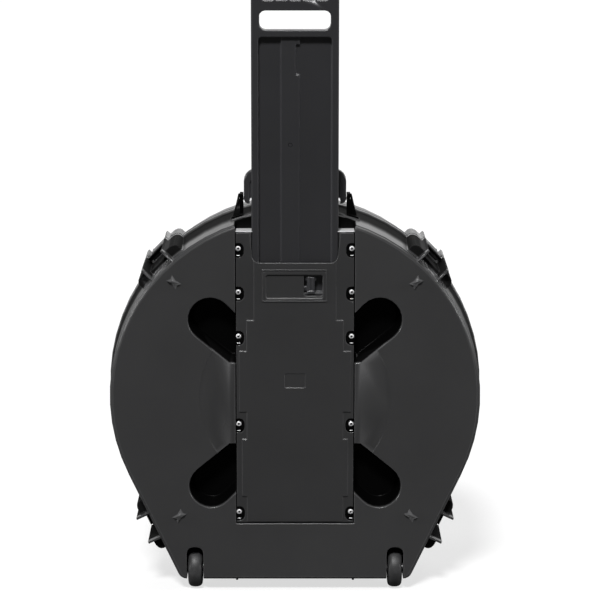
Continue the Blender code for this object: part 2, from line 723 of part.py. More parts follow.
def handle_cover():
    half = CHANNEL_HALF - COVER_SIDE_GAP
    low = CHANNEL_BOTTOM + COVER_SIDE_GAP
    inner = COVER_SINK + COVER_THICK
    cover = solid("handle_cover", prism([(-half, low), (half, low), (half, COVER_TOP), (-half, COVER_TOP)],
                                        COVER_SINK, inner), "cover")
    steps = ((low + PANEL_FOOT, PANEL_HALF), *PANEL_STEPS, (MOUTH_Z + PANEL_INTO_MOUTH, 0.0))
    right = []
    for (z, x), (z_next, _) in zip(steps, steps[1:]):
        right += [(x, z), (x, z_next)]
    panel = right + [(-x, z) for x, z in reversed(right)]
    join(cover, tool(prism(panel, COVER_SINK - PANEL_RAISE, inner - OVERLAP)))
    cut(cover, tool(prism(mouth_outline(), -BEYOND, inner + BEYOND)))
    face = COVER_SINK - PANEL_RAISE
    join(cover, tool(prism(rounded(LABEL[:2], LABEL[2:], LABEL_ROUND), face - LABEL_PROUD, face + OVERLAP)))
    left, right, bottom, top = LABEL
    label = rounded((left + LABEL_RIM, right - LABEL_RIM), (bottom + LABEL_RIM, top - LABEL_RIM),
                    LABEL_INNER_ROUND)
    cut(cover, tool(prism(label, -BEYOND, face + LABEL_SINK)))
    cut(cover, tool(prism(rounded(WINDOW[:2], WINDOW[2:], WINDOW_ROUND), -BEYOND, inner + BEYOND)))
    cut(cover, tool(prism(rounded(DIMPLE[:2], DIMPLE[2:], WINDOW_ROUND), -BEYOND, face + DIMPLE_SINK)))
    for x, z in screw_places():
        pad = rounded((x - SCREW_PAD, x + SCREW_PAD), (z - SCREW_PAD_DROP - SCREW_PAD, z + SCREW_PAD),
                      SCREW_PAD - SLIVER, 6)
        cut(cover, tool(prism(pad, -BEYOND, COVER_SINK + SCREW_PAD_SINK)))
    holes = [rod(-BEYOND, inner + BEYOND, SCREW_SHANK + GAP, 8, along_y(x, z)) for x, z in screw_places()]
    cut(cover, tool(merged(holes)))


def cover_screws():
    seat = COVER_SINK + SCREW_PAD_SINK - GAP
    top = seat - SCREW_HEAD_THICK
    tip = seat + SCREW_LENGTH
    profile = [(top, 0.0), (top, SCREW_HEAD_TOP * SCREW_HEAD), (seat, SCREW_HEAD), (seat, SCREW_SHANK),
               (tip, SCREW_SHANK), (tip, 0.0)]
    for number, (x, z) in enumerate(screw_places(), 1):
        solid(f"cover_screw_{number:02d}", turned(profile, 10, matrix=along_y(x, z)), "steel")


def handle_guides():
    lug_top = HANDLE_BOTTOM + LUG_RISE + LUG_HEIGHT
    middle = HANDLE_IN + HANDLE_THICK / 2
    for name, side in (("left", -1), ("right", 1)):
        low = CHANNEL_BOTTOM + GAP
        top = COVER_TOP + GUIDE_OVER
        wall = CHANNEL_HALF - GAP
        lip = HANDLE_OUT + GAP
        section = [(GUIDE_X, GUIDE_IN), (wall, GUIDE_IN), (wall, GUIDE_OUT), (GUIDE_X - GUIDE_LIP, GUIDE_OUT),
                   (GUIDE_X - GUIDE_LIP, lip), (GUIDE_X, lip)]
        rings = [[Vector((side * x, FACE_Y + depth, z)) for x, depth in section] for z in (low, top)]
        guide = solid("handle_guide_" + name, loft(rings), "cover")
        x = sorted((side * (GUIDE_X - GROOVE_LAP), side * (HANDLE_HALF + LUG_REACH + HANDLE_PLAY)))
        half = LUG_THICK / 2 + LUG_PLAY
        y = (FACE_Y + middle - half, FACE_Y + middle + half)
        cut(guide, tool(box(x, y, (low - BEYOND, lug_top + GAP))))
        depth = COVER_SINK + SCREW_PAD_SINK + SCREW_LENGTH
        holes = [rod(0.0, depth + GAP, SCREW_SHANK + GAP, 8, along_y(x, z))
                 for x, z in screw_places() if x * side > 0]
        cut(guide, tool(merged(holes)))


def pull_handle():
    shape = rounded((-HANDLE_HALF, HANDLE_HALF), (HANDLE_BOTTOM, HANDLE_TOP), HANDLE_CORNER, 4)
    narrow = HANDLE_HALF - HANDLE_BEVEL
    small = rounded((-narrow, narrow), (HANDLE_BOTTOM + HANDLE_BEVEL, HANDLE_TOP - HANDLE_BEVEL),
                    HANDLE_CORNER - HANDLE_BEVEL, 4)
    rings = []
    for points, depth in ((small, HANDLE_IN), (shape, HANDLE_IN + HANDLE_BEVEL),
                          (shape, HANDLE_OUT - HANDLE_BEVEL), (small, HANDLE_OUT)):
        rings.append([Vector((x, FACE_Y + depth, z)) for x, z in points])
    handle = solid("pull_handle", loft(rings), "handle")
    inside = HANDLE_HALF - HANDLE_RIM
    foot = HANDLE_BOTTOM + HANDLE_FOOT
    recess = rounded((-inside, inside), (foot, HANDLE_RECESS_TOP), RECESS_ROUND)
    floor = HANDLE_IN + HANDLE_RECESS
    cut(handle, tool(prism(recess, HANDLE_IN - BEYOND, floor)))
    cut(handle, tool(prism(recess, HANDLE_OUT - HANDLE_RECESS, HANDLE_OUT + BEYOND)))
    step = BAND_RIGHT - NOTCH_WIDTH
    low = foot - BAND_LAP
    high = HANDLE_RECESS_TOP + BAND_LAP
    band = [(BAND_LEFT, low), (BAND_RIGHT, low), (BAND_RIGHT, NOTCH_BOTTOM), (step, NOTCH_BOTTOM),
            (step, NOTCH_TOP), (BAND_RIGHT, NOTCH_TOP), (BAND_RIGHT, high), (BAND_LEFT, high)]
    join(handle, tool(prism(band, floor - BAND_HEIGHT, floor + 2 * OVERLAP)))
    hole = rounded((-HOLE_HALF, HOLE_HALF), (HOLE_BOTTOM, HOLE_TOP), HOLE_ROUND)
    cut(handle, tool(prism(hole, HANDLE_IN - BEYOND, HANDLE_OUT + BEYOND)))
    first = -(CELLS - 1) / 2 * CELL_PITCH
    for i in range(CELLS):
        middle = first + i * CELL_PITCH
        half = (CELL_PITCH - CELL_RIB) / 2
        cell = rounded((middle - half, middle + half), (CELL_BOTTOM, CELL_TOP), CELL_ROUND, 1)
        cut(handle, tool(prism(cell, HANDLE_IN - BEYOND, HANDLE_OUT + BEYOND)))
    middle = FACE_Y + HANDLE_IN + HANDLE_THICK / 2
    for side in (-1, 1):
        x = sorted((side * (HANDLE_HALF - BAND_LAP), side * (HANDLE_HALF + LUG_REACH)))
        z = HANDLE_BOTTOM + LUG_RISE
        join(handle, tool(box(x, (middle - LUG_THICK / 2, middle + LUG_THICK / 2), (z, z + LUG_HEIGHT))))


def handle_catch():
    right = CATCH_LEFT + CATCH_WIDTH
    under = FACE_Y + COVER_SINK + COVER_THICK
    low = WINDOW[2] + CATCH_END_GAP
    finger = solid("handle_catch", box((CATCH_LEFT, right), (under - CATCH_THICK, under + 2 * GAP),
                                       (low, WINDOW[3] - CATCH_END_GAP)), "handle")
    join(finger, tool(box((CATCH_LEFT - CATCH_ROOT_SIDE, right + CATCH_ROOT_SIDE),
                          (under + GAP, under + GAP + CATCH_ROOT_THICK),
                          (WINDOW[3] - CATCH_ROOT_LAP, WINDOW[3] + CATCH_ROOT))))
    join(finger, tool(box((CATCH_LEFT + 2 * SLIVER, right - 2 * SLIVER),
                          (under - CATCH_THICK - CATCH_TIP_PROUD, under - OVERLAP), (low, low + CATCH_TIP))))
    floor = FACE_Y + HANDLE_IN + HANDLE_RECESS
    join(finger, tool(box((BAND_RIGHT + NIB_PLAY, right - HANDLE_PLAY), (under + GAP, floor - HANDLE_PLAY),
                          (CATCH_NIB_Z, CATCH_NIB_Z + CATCH_NIB))))
    set_origin(finger, Vector((CATCH_LEFT + CATCH_WIDTH / 2, under, WINDOW[3])))


def set_origin(thing, point):
    """Moves an object's origin to a joint's axis, its shape staying where it is."""
    thing.data.transform(Matrix.Translation(-point))
    thing.location = point


def wheels():
    half = WHEEL_WIDTH / 2
    inset = half - HUB_INSET
    bearing_in = inset - BEARING_WIDTH
    bearing_bore = BEARING_RADIUS + GAP
    axle_bore = AXLE_RADIUS + AXLE_PLAY
    for name, side in (("left", -1), ("right", 1)):
        centre = Vector((side * WHEEL_X, AXLE_Y, WHEEL_RADIUS))
        place = Matrix.Translation(centre)
        crown = [(half - TYRE_INSET, HUB_RADIUS)]
        crown += [(half - inward, WHEEL_RADIUS - below) for inward, below in TYRE_CROWN]
        tread = [(-a, r) for a, r in crown] + [(a, r) for a, r in reversed(crown)]
        tyre = solid("wheel_tyre_" + name, turned(tread, 28, True, place), "tyre")
        boss = BEARING_RADIUS + HUB_BOSS
        ring_in = HUB_RADIUS - HUB_RING
        rim = [(-inset, bearing_bore), (-inset, boss), (-HUB_WEB, boss + 2 * HUB_DRAFT),
               (-HUB_WEB, ring_in - HUB_DRAFT), (-inset, ring_in), (-inset, HUB_RADIUS - GAP)]
        rim += [(-a, r) for a, r in reversed(rim)]
        stop = bearing_in - GAP
        rim += [(stop, bearing_bore), (stop, axle_bore), (-stop, axle_bore), (-stop, bearing_bore)]
        hub = solid("wheel_hub_" + name, turned(rim, 16, True, place), "hub")
        turning = [tyre, hub]
        for end_name, end in (("inner", -side), ("outer", side)):
            a = sorted((end * bearing_in, end * inset))
            ring = [(a[0], AXLE_RADIUS + TURN_GAP), (a[0], BEARING_RADIUS), (a[1], BEARING_RADIUS),
                    (a[1], AXLE_RADIUS + TURN_GAP)]
            turning.append(solid(f"wheel_bearing_{name}_{end_name}", turned(ring, 16, True, place), "steel"))
        for piece in turning:
            set_origin(piece, centre)
        reach = half + WELL_SIDE_GAP + AXLE_OVER
        solid("wheel_axle_" + name, rod(-reach, reach, AXLE_RADIUS, 20, place), "steel")


def latches():
    lift = SEAT_RISE + GAP
    plate_top = lift + PLATE_THICK
    pivot = (LATCH_PIVOT_IN, LATCH_PIVOT_OUT)
    ear_in = LEVER_NECK + EAR_PLAY
    ear_out = ear_in + EAR_THICK
    under = KEEPER_HEIGHT + LEVER_OVER_KEEPER
    over = under + LEVER_THICK
    claw = KEEPER_AT - CLAW_PLAY
    neck = [(NECK_FROM, under), (pivot[0] - EAR_HALF, under)]
    neck += [(pivot[0] + w, pivot[1] + v) for w, v in LEVER_EYE]
    neck += [(pivot[0], over), (NECK_FROM, over)]
    tail = claw - TAIL_REACH
    blade = [(BLADE_TO, under + LEVER_STEP), (claw, under + LEVER_STEP), (claw, CLAW_TIP),
             (claw - CLAW_THICK, CLAW_TIP), (claw - CLAW_THICK, under), (tail, over + TAIL_RISE),
             (tail + TAIL_RISE, over + 2 * TAIL_RISE), (claw, over - LEVER_STEP), (BLADE_TO, over - LEVER_STEP)]
    for name, frame in latch_frames().items():
        keeper = solid("latch_keeper_" + name, box((-PLATE_HALF, PLATE_HALF),
                                                   (KEEPER_AT - KEEPER_BACK, -KEEPER_FRONT),
                                                   (lift, plate_top), frame), "dark_steel", False)
        hook = (-PLATE_HALF + OVERLAP, PLATE_HALF - OVERLAP)
        join(keeper, tool(box(hook, (KEEPER_AT, KEEPER_AT + HOOK_THICK), (plate_top - OVERLAP, KEEPER_HEIGHT),
                              frame)))
        base = solid("latch_base_" + name, box((-PLATE_HALF, PLATE_HALF),
                                               (PLATE_FROM, LATCH_PIVOT_IN + PLATE_PAST_PIVOT),
                                               (lift, plate_top), frame), "dark_steel", False)
        for side in (-1, 1):
            x = sorted((side * ear_in, side * ear_out))
            join(base, tool(box(x, (pivot[0] - EAR_HALF, pivot[0] + EAR_HALF),
                                (plate_top - OVERLAP, pivot[1] + EAR_HEIGHT), frame)))
        axis = frame @ Matrix.Translation((0.0, *pivot))
        cut(base, tool(rod(-ear_out - BEYOND, ear_out + BEYOND, LATCH_PIN + GAP, 10, axis)))
        pin = ear_out + PIN_HEAD
        solid("latch_pin_" + name, rod(-pin, pin, LATCH_PIN, 10, axis), "steel")
        rings = [[frame @ Vector((u, w, v)) for w, v in neck] for u in (-LEVER_NECK, LEVER_NECK)]
        lever = solid("latch_lever_" + name, loft(rings), "shell")
        rings = [[frame @ Vector((u, w, v)) for w, v in blade] for u in (-LEVER_HALF, LEVER_HALF)]
        join(lever, tool(loft(rings)))
        cut(lever, tool(rod(-LEVER_HALF - BEYOND, LEVER_HALF + BEYOND, LATCH_PIN + TURN_GAP, 10, axis)))
        set_origin(lever, axis.translation)


def carry_handle():
    y = FACE_Y + CARRY_DEPTH
    pivot = CARRY_PIVOT_Z
    top = pivot + CARRY_RISE
    inner = CARRY_HALF - CARRY_ARM
    under = top - CARRY_GRIP
    right = [(inner, pivot)]
    right += arc((CARRY_HALF - CARRY_BOSS, pivot), CARRY_BOSS, 225, 360, 4)[1:]
    right += arc((CARRY_HALF - CARRY_OUTER_ROUND, top - CARRY_OUTER_ROUND), CARRY_OUTER_ROUND, 0, 90, 5)
    inside = arc((inner - CARRY_INNER_ROUND, under - CARRY_INNER_ROUND), CARRY_INNER_ROUND, 90, 0, 4)
    path = right + [(-x, z) for x, z in reversed(right)] + [(-x, z) for x, z in reversed(inside)] + inside
    rings = []
    for offset in (-CARRY_WIDE / 2, CARRY_WIDE / 2):
        rings.append([Vector((x, y + offset, z)) for x, z in path])
    bail = solid("carry_handle", loft(rings), "handle")
    for side in (-1, 1):
        place = Matrix.Translation((side * (CARRY_HALF - CARRY_ARM / 2), y, pivot))
        cut(bail, tool(rod(-CARRY_ARM, CARRY_ARM, CARRY_PIN + TURN_GAP, 12, place)))
    set_origin(bail, Vector((0.0, y, pivot)))
    for name, side in (("left", -1), ("right", 1)):
        near = CARRY_HALF + CARRY_SIDE_PLAY
        far = near + EAR_PLATE
        toe = far + GUSSET
        plate = over_carry_seat(side, (near, toe + BRACKET_TOE), GAP, GAP + BRACKET_PLATE)
        bracket = solid("carry_bracket_" + name, prism(plate, CARRY_DEPTH - BRACKET_HALF,
                                                       CARRY_DEPTH + BRACKET_HALF), "cover")
        low = GAP + OVERLAP
        high = pivot + EAR_OVER
        ear = over_carry_seat(side, (near, far), low, low)[:2] + [(side * far, high), (side * near, high)]
        join(bracket, tool(prism(ear, CARRY_DEPTH - EAR_PLATE_HALF, CARRY_DEPTH + EAR_PLATE_HALF)))
        gusset = over_carry_seat(side, (far - OVERLAP, toe), low, low)[:2]
        gusset += [(side * (far + GUSSET_TOP), high - 2 * OVERLAP), (side * (far - OVERLAP), high - OVERLAP)]
        join(bracket, tool(prism(gusset, CARRY_DEPTH - GUSSET_HALF, CARRY_DEPTH + GUSSET_HALF)))
        hole = sorted((side * (near - BEYOND), side * (far + PIN_HOLE_OVER)))
        pin_at = Matrix.Translation((0.0, y, pivot))
        cut(bracket, tool(rod(*hole, CARRY_PIN + GAP, 12, pin_at)))
        a = sorted((side * (inner - PIN_INSIDE), side * (far - PIN_SHORT)))
        solid("carry_pin_" + name, rod(a[0], a[1], CARRY_PIN, 12, pin_at), "steel")


def hinge():
    low = LEAF_TOP - LEAF_THICK
    axis_at = Matrix.Translation((0.0, PART_Y, HINGE_Z))
    half = HINGE_LENGTH / 2
    third = HINGE_LENGTH / 6
    knuckles = {"back": ((-half, -third - GAP), (third + GAP, half)), "lid": ((-third, third),)}
    for name, sign in (("back", -1), ("lid", 1)):
        y = sorted((PART_Y + sign * (HINGE_BARREL + OVERLAP), PART_Y + sign * LEAF_REACH))
        leaf = solid("hinge_leaf_" + name, box((-half, half), y, (low, LEAF_TOP)), "dark_steel")
        for start, end in knuckles[name]:
            web = sorted((PART_Y + sign * OVERLAP, PART_Y + sign * (HINGE_BARREL + WEB_LAP)))
            join(leaf, tool(box((start, end), web, (low + SLIVER, LEAF_TOP - SLIVER))))
            join(leaf, tool(rod(start, end, HINGE_BARREL, 12, axis_at)))
        cut(leaf, tool(rod(-half - BEYOND, half + BEYOND, HINGE_PIN + TURN_GAP, 8, axis_at)))
    solid("hinge_pin", rod(-half + PIN_SHORT, half - PIN_SHORT, HINGE_PIN, 8, axis_at), "steel")


def front_feet():
    for name, side in (("left", -1), ("right", 1)):
        rings = []
        for z, half in ((0.0, FOOT_SIZE / 2 - FOOT_BEVEL), (FOOT_BEVEL_HIGH, FOOT_SIZE / 2),
                        (FOOT_SEAT_Z - GAP, FOOT_SIZE / 2)):
            points = rounded((side * FOOT_X - half, side * FOOT_X + half), (-half, half), FOOT_ROUND)
            rings.append([Vector((x, FACE_Y + FOOT_DEPTH + y, z)) for x, y in points])
        solid("front_foot_" + name, loft(rings), "rubber")


def inside():
    end = BACK_DEPTH + LID_DEPTH - DISH_DEPTH - WALL - GAP
    liner = solid("back_liner", lathe_disc(PAD_RADIUS, PAD_BOTTOM, PAD_BOTTOM + PAD_THICK), "foam")
    cut(liner, tool(lathe_disc(POST_BASE + POST_HOLE_GAP, 0.0, BACK_DEPTH, 24)))
    solid("lid_liner", lathe_disc(LID_PAD_RADIUS, end - PAD_THICK, end), "foam")
    axis = along_y(0.0, CENTRE_Z)
    base_top = PAD_BOTTOM + POST_BASE_THICK
    post = [(PAD_BOTTOM, 0.0), (PAD_BOTTOM, POST_BASE), (base_top, POST_BASE), (base_top, POST_RADIUS),
            (PAD_BOTTOM + POST_LENGTH, POST_RADIUS), (PAD_BOTTOM + POST_LENGTH, 0.0)]
    solid("centre_post", turned(post, 20, matrix=axis), "steel")
    for i, name in enumerate(("lower", "upper")):
        low = base_top + GAP + i * (FELT_THICK + GAP)
        bore = POST_RADIUS + TURN_GAP
        ring = [(low, bore), (low, FELT_RADIUS), (low + FELT_THICK, FELT_RADIUS), (low + FELT_THICK, bore)]
        solid("felt_washer_" + name, turned(ring, 20, True, axis), "felt")
    low = base_top + GAP + 2 * (FELT_THICK + GAP)
    high = low + NUT_HEIGHT
    profile = [(low, 0.0), (low, NUT_RADIUS), (high, NUT_RADIUS - NUT_TAPER), (high, 0.0)]
    nut = solid("wing_nut", turned(profile, 16, matrix=axis), "steel")
    right = [(NUT_RADIUS - WING_LOW, WING_LOW), (NUT_WING, NUT_RADIUS), (NUT_WING + OVERLAP, WING_HIGH),
             (WING_NOTCH, WING_HIGH - WING_LOW), (WING_DIP, NUT_RADIUS - WING_LOW)]
    wing = right + [(-x, y) for x, y in reversed(right)]
    rings = [[Vector((x, FACE_Y + low + y, CENTRE_Z + offset)) for x, y in wing]
             for offset in (-WING_HALF_THICK, WING_HALF_THICK)]
    join(nut, tool(loft(rings)))
    cut(nut, tool(rod(low - BEYOND, high + BEYOND, POST_RADIUS + TURN_GAP, 20, axis)))
    set_origin(nut, Vector((0.0, FACE_Y + low, CENTRE_Z)))


def main():
    for thing in list(bpy.data.objects):
        bpy.data.objects.remove(thing)
    back_shell()
    front_shell()
    rim_seal()
    handle_cover()
    cover_screws()
    handle_guides()
    pull_handle()
    handle_catch()
    wheels()
    latches()
    carry_handle()
    hinge()
    front_feet()
    inside()


main()
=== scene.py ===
"""Looks of an upright wheeled hard case for cymbals, modelled round its packed construction."""

import json
import math

import bmesh
import bpy
from bpy.props import FloatProperty, FloatVectorProperty, IntProperty, PointerProperty
from bpy.types import Operator, Panel, PropertyGroup
from mathutils import Matrix, Vector
from mathutils.geometry import intersect_point_line
from mathutils.kdtree import KDTree


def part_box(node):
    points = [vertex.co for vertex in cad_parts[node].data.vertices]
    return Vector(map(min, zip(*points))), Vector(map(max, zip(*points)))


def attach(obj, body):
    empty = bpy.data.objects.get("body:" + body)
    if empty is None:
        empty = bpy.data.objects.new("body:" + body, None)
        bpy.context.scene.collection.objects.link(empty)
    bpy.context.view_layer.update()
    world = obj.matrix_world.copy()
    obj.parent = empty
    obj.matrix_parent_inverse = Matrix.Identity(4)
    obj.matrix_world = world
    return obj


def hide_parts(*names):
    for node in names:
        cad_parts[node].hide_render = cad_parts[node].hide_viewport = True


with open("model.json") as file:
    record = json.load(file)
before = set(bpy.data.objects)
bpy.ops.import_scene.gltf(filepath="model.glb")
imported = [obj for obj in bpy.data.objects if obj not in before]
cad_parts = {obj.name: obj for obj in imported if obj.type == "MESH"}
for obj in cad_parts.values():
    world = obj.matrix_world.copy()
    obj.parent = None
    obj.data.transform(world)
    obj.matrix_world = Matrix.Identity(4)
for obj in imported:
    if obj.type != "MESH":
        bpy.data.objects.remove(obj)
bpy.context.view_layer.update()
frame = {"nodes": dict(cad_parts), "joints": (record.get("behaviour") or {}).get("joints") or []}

bl_info = {
    "name": "Cymbal Case Looks",
    "version": (1, 0, 0),
    "blender": (4, 5, 0),
    "location": "View3D > Sidebar > Cymbal Case",
    "description": "Dresses the construction of a wheeled cymbal case with its finished pieces and materials",
    "category": "Object",
}

NODES = frame["nodes"]
SIDES = (("left", -1), ("right", 1))
LATCHES = ("upper_left", "upper_right", "lower_left", "lower_right")
TOWARDS_LID = Vector((0.0, 1.0, 0.0))

# The back half's face and centre, and the plane where it meets the lid
RIM_PROUD = 0.0105
BACK_LOW, BACK_HIGH = (Vector(corner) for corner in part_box("back_shell"))
FACE_RADIUS = BACK_HIGH.x - RIM_PROUD
CENTRE_Z = BACK_HIGH.z - BACK_HIGH.x
PART_Y = BACK_HIGH.y
FACE_Y = PART_Y - 0.150

# Merging and flattening of the copies of the construction's solids
MERGE = 0.00002
FLAT = math.radians(0.5)
SHARP = math.radians(28)
NARROW = math.cos(math.radians(22))
# Factor for the lighter edges of the moulded finishes: partly rubbing wear, partly a painted highlight.
EDGE_WEAR_AND_HIGHLIGHT_TONE = 3.6
BENT = math.radians(1)

# Latch plates and pins, measured from a latch's pivot
PIVOT_OUT = 0.0075
PIVOT_IN = 0.050
PLATE_TOP = 0.0025
RIVET_RADIUS = 0.0028
RIVET_HIGH = 0.0011

# The photograph's camera
CAMERA_BACK = 4.5
CAMERA_Z = 1.44
CAMERA_TILT = 11.3
CAMERA_LENS = 148.2


def size(name, default, description, unit="LENGTH"):
    return FloatProperty(name=name, default=default, description=description, unit=unit, precision=5)


def colour(name, default, description):
    return FloatVectorProperty(name=name, default=default, description=description, subtype="COLOR",
                               min=0.0, max=1.0)


class CaseSizes(PropertyGroup):
    """Sizes of the finished surfaces."""
    shell_edge: size("Shell Edge", 0.0010, "Rounding of the two shells' edges")
    cover_edge: size("Cover Edge", 0.0009, "Rounding of the handle cover's edges")
    handle_edge: size("Handle Edge", 0.0008, "Rounding of the pull handle's edges")
    carry_edge: size("Carry Handle Edge", 0.0030, "Rounding of the carrying handle's edges")
    metal_edge: size("Metal Edge", 0.0003, "Rounding of the latch plates' and hinge leaves' edges")
    small_edge: size("Small Edge", 0.0006, "Rounding of small mouldings' edges")
    socket_radius: size("Screw Socket", 0.0021, "Half the width across the flats of a cover screw's socket")
    thread_pitch: size("Thread Pitch", 0.00125, "Pitch of the centre post's thread")
    foam_pitch: size("Foam Pitch", 0.030, "Distance between two crests of the foam pads")
    foam_swing: size("Foam Swing", 0.0022, "Height of a foam crest over the pad's middle level")
    shell_grain: size("Shell Grain", 0.0009, "Size of the shells' leather grain")
    foam_crests: IntProperty(name="Foam Steps", default=384, description="Faces round a foam pad")


class CaseColours(PropertyGroup):
    """Colours of the finishes."""
    shell: colour("Shell", (0.0345, 0.0345, 0.0352), "Both halves of the case")
    cover: colour("Cover", (0.0300, 0.0300, 0.0307), "Handle cover, guides and brackets")
    handle: colour("Handle", (0.024, 0.024, 0.026), "Pull handle and carrying handle")
    zinc: colour("Zinc", (0.86, 0.86, 0.87), "Screws, pins, axles, bearings and the centre post")
    coated: colour("Coated Steel", (0.030, 0.030, 0.031), "Latch plates and hinge leaves")
    tyre: colour("Tyre", (0.0310, 0.0310, 0.0318), "Wheel tyres")
    hub: colour("Hub", (0.045, 0.045, 0.047), "Wheel hubs")
    # The rubber colour also colours the discs of painted shade in the screw sockets.
    rubber: colour("Rubber", (0.012, 0.012, 0.012), "Rim seal and front feet")
    foam: colour("Foam", (0.032, 0.032, 0.035), "Foam pads")
    felt: colour("Felt", (0.11, 0.11, 0.115), "Felt washers")
    floor: colour("Floor", (0.93, 0.93, 0.93), "Studio floor")


def sizes():
    return bpy.context.scene.case_sizes


def colours():
    return bpy.context.scene.case_colours


class Value:
    """A shader socket that can be used in Python expressions, each adding its Math nodes."""

    def __init__(self, finish, socket):
        self.finish = finish
        self.socket = socket

    def maths(self, operation, *numbers):
        return self.finish.node("ShaderNodeMath", {"operation": operation}, dict(enumerate(numbers)))

    def __add__(self, other):
        return self.maths("ADD", self, other)

    def __radd__(self, other):
        return self.maths("ADD", other, self)

    def __sub__(self, other):
        return self.maths("SUBTRACT", self, other)

    def __rsub__(self, other):
        return self.maths("SUBTRACT", other, self)

    def __mul__(self, other):
        return self.maths("MULTIPLY", self, other)

    def __rmul__(self, other):
        return self.maths("MULTIPLY", other, self)

    def __pow__(self, other):
        return self.maths("POWER", self, other)

    def between(self, low, high):
        """From 0 at low to 1 at high, eased."""
        return self.finish.node("ShaderNodeMapRange", {"interpolation_type": "SMOOTHSTEP"},
                                {"Value": self, "From Min": low, "From Max": high})


class Finish:
    """A node material, or the world, that is put together from Python."""

    def __init__(self, owner, output):
        owner.use_nodes = True
        self.owner = owner
        self.tree = owner.node_tree
        self.shader = self.tree.nodes[output]

    def node(self, kind, settings=None, inputs=None, output=0):
        made = self.tree.nodes.new(kind)
        for name, setting in (settings or {}).items():
            setattr(made, name, setting)
        for name, value in (inputs or {}).items():
            self.feed(made.inputs[name], value)
        return Value(self, made.outputs[output])

    def feed(self, socket, value):
        if isinstance(value, Value):
            self.tree.links.new(value.socket, socket)
        else:
            socket.default_value = value

    def set(self, **inputs):
        for name, value in inputs.items():
            self.feed(self.shader.inputs[name.replace("_", " ")], value)

    def parts(self, place):
        """The X, Y and Z of a place or a direction."""
        split = self.tree.nodes.new("ShaderNodeSeparateXYZ")
        self.feed(split.inputs[0], place)
        return [Value(self, output) for output in split.outputs]

    def place(self):
        return self.node("ShaderNodeTexCoord", output="Object")

    def noise(self, place, scale, detail=2.0, roughness=0.5):
        return self.node("ShaderNodeTexNoise", {}, {"Vector": place, "Scale": scale, "Detail": detail,
                                                    "Roughness": roughness}, "Fac")

    def cells(self, place, scale, output="Distance", feature="F1"):
        return self.node("ShaderNodeTexVoronoi", {"feature": feature}, {"Vector": place, "Scale": scale}, output)

    def stretched(self, place, scale):
        return self.node("ShaderNodeMapping", {}, {"Vector": place, "Scale": scale})

    def mix(self, factor, first, second):
        return self.node("ShaderNodeMix", {"data_type": "RGBA"}, {0: factor, 6: first, 7: second}, 2)

    def bump(self, height, distance, normal=None):
        inputs = {"Height": height, "Distance": distance, "Strength": 1.0}
        if normal:
            inputs["Normal"] = normal
        return self.node("ShaderNodeBump", {}, inputs, "Normal")

    def rounded(self, radius):
        return self.node("ShaderNodeBevel", {"samples": 6}, {"Radius": radius}, "Normal")

    def paint_flat_shade(self, share, rgb):
        """Paints shade over a share of the surface: mixes it down to a plain dark colour without gloss."""
        shade_bsdf = self.tree.nodes.new("ShaderNodeBsdfPrincipled")
        shade_bsdf.inputs["Base Color"].default_value = rgb
        shade_bsdf.inputs["Roughness"].default_value = 1.0
        shade_bsdf.inputs["Specular IOR Level"].default_value = 0.0
        mixed = self.node("ShaderNodeMixShader", {}, {0: share, 1: Value(self, self.shader.outputs[0]),
                                                      2: Value(self, shade_bsdf.outputs[0])})
        self.tree.links.new(mixed.socket, self.tree.nodes["Material Output"].inputs["Surface"])

    def edges(self, softened):
        """1 along an edge and 0 on open surface."""
        true = self.node("ShaderNodeNewGeometry", output="True Normal")
        match = self.node("ShaderNodeVectorMath", {"operation": "DOT_PRODUCT"}, {0: softened, 1: true}, "Value")
        return (1.0 - match).between(0.006, 0.07)


def material(name):
    return Finish(bpy.data.materials.new(name), "Principled BSDF")


def tone(rgb, factor):
    return (*(min(1.0, channel * factor) for channel in rgb), 1.0)


def painted_hollow_shade(finish, place):
    """1 in the back half's pockets, channel and wheel wells, where shade is painted dark, and 0 on its face and
    outside.
    """
    x, y, z = finish.parts(place)
    deep = y.between(FACE_Y + 0.0015, FACE_Y + 0.0090) * (1.0 - y.between(FACE_Y + 0.0455, FACE_Y + 0.0465))
    out = x ** 2 + (z - CENTRE_Z) ** 2
    off = x.maths("ABSOLUTE", x)
    channel = 1.0 - off.between(0.1105, 0.1130)
    pockets = 1.0 - out.between(0.290 ** 2, 0.300 ** 2)
    well = (1.0 - z.between(0.0858, 0.0880)) * off.between(0.160, 0.166) * (1.0 - off.between(0.2060, 0.2080))
    well = well * y.between(FACE_Y + 0.002, FACE_Y + 0.008) * (1.0 - y.between(PART_Y - 0.030, PART_Y - 0.028))
    return well.maths("MAXIMUM", well, deep * channel.maths("MAXIMUM", channel, pockets))


def painted_niche_shade(finish, place):
    """1 in the cover's screw niches and beside it, and on the brackets above it, where shade is painted dark, and 0 on
    its face.
    """
    x, y, z = finish.parts(place)
    aside = x.maths("ABSOLUTE", x).between(0.0915, 0.0935)
    niches = aside * y.between(FACE_Y + 0.0036, FACE_Y + 0.0048)
    return niches.maths("MAXIMUM", niches, z.between(0.6860, 0.6900))


def rim_roughening_and_painted_shade(finish, place):
    """1 on the half of the back's side wall next to its rim, and on the latch seats: painted shade there, with a
    rougher surface.
    """
    x, y, z = finish.parts(place)
    out = x ** 2 + (z - CENTRE_Z) ** 2
    wall = y.between(FACE_Y + 0.040, FACE_Y + 0.085) * out.between(0.330 ** 2, 0.336 ** 2)
    seats = out.between(0.3445 ** 2, 0.3475 ** 2) * y.between(FACE_Y + 0.018, FACE_Y + 0.024)
    return wall.maths("MAXIMUM", wall, seats) * (1.0 - y.between(PART_Y - 0.014, PART_Y - 0.012))


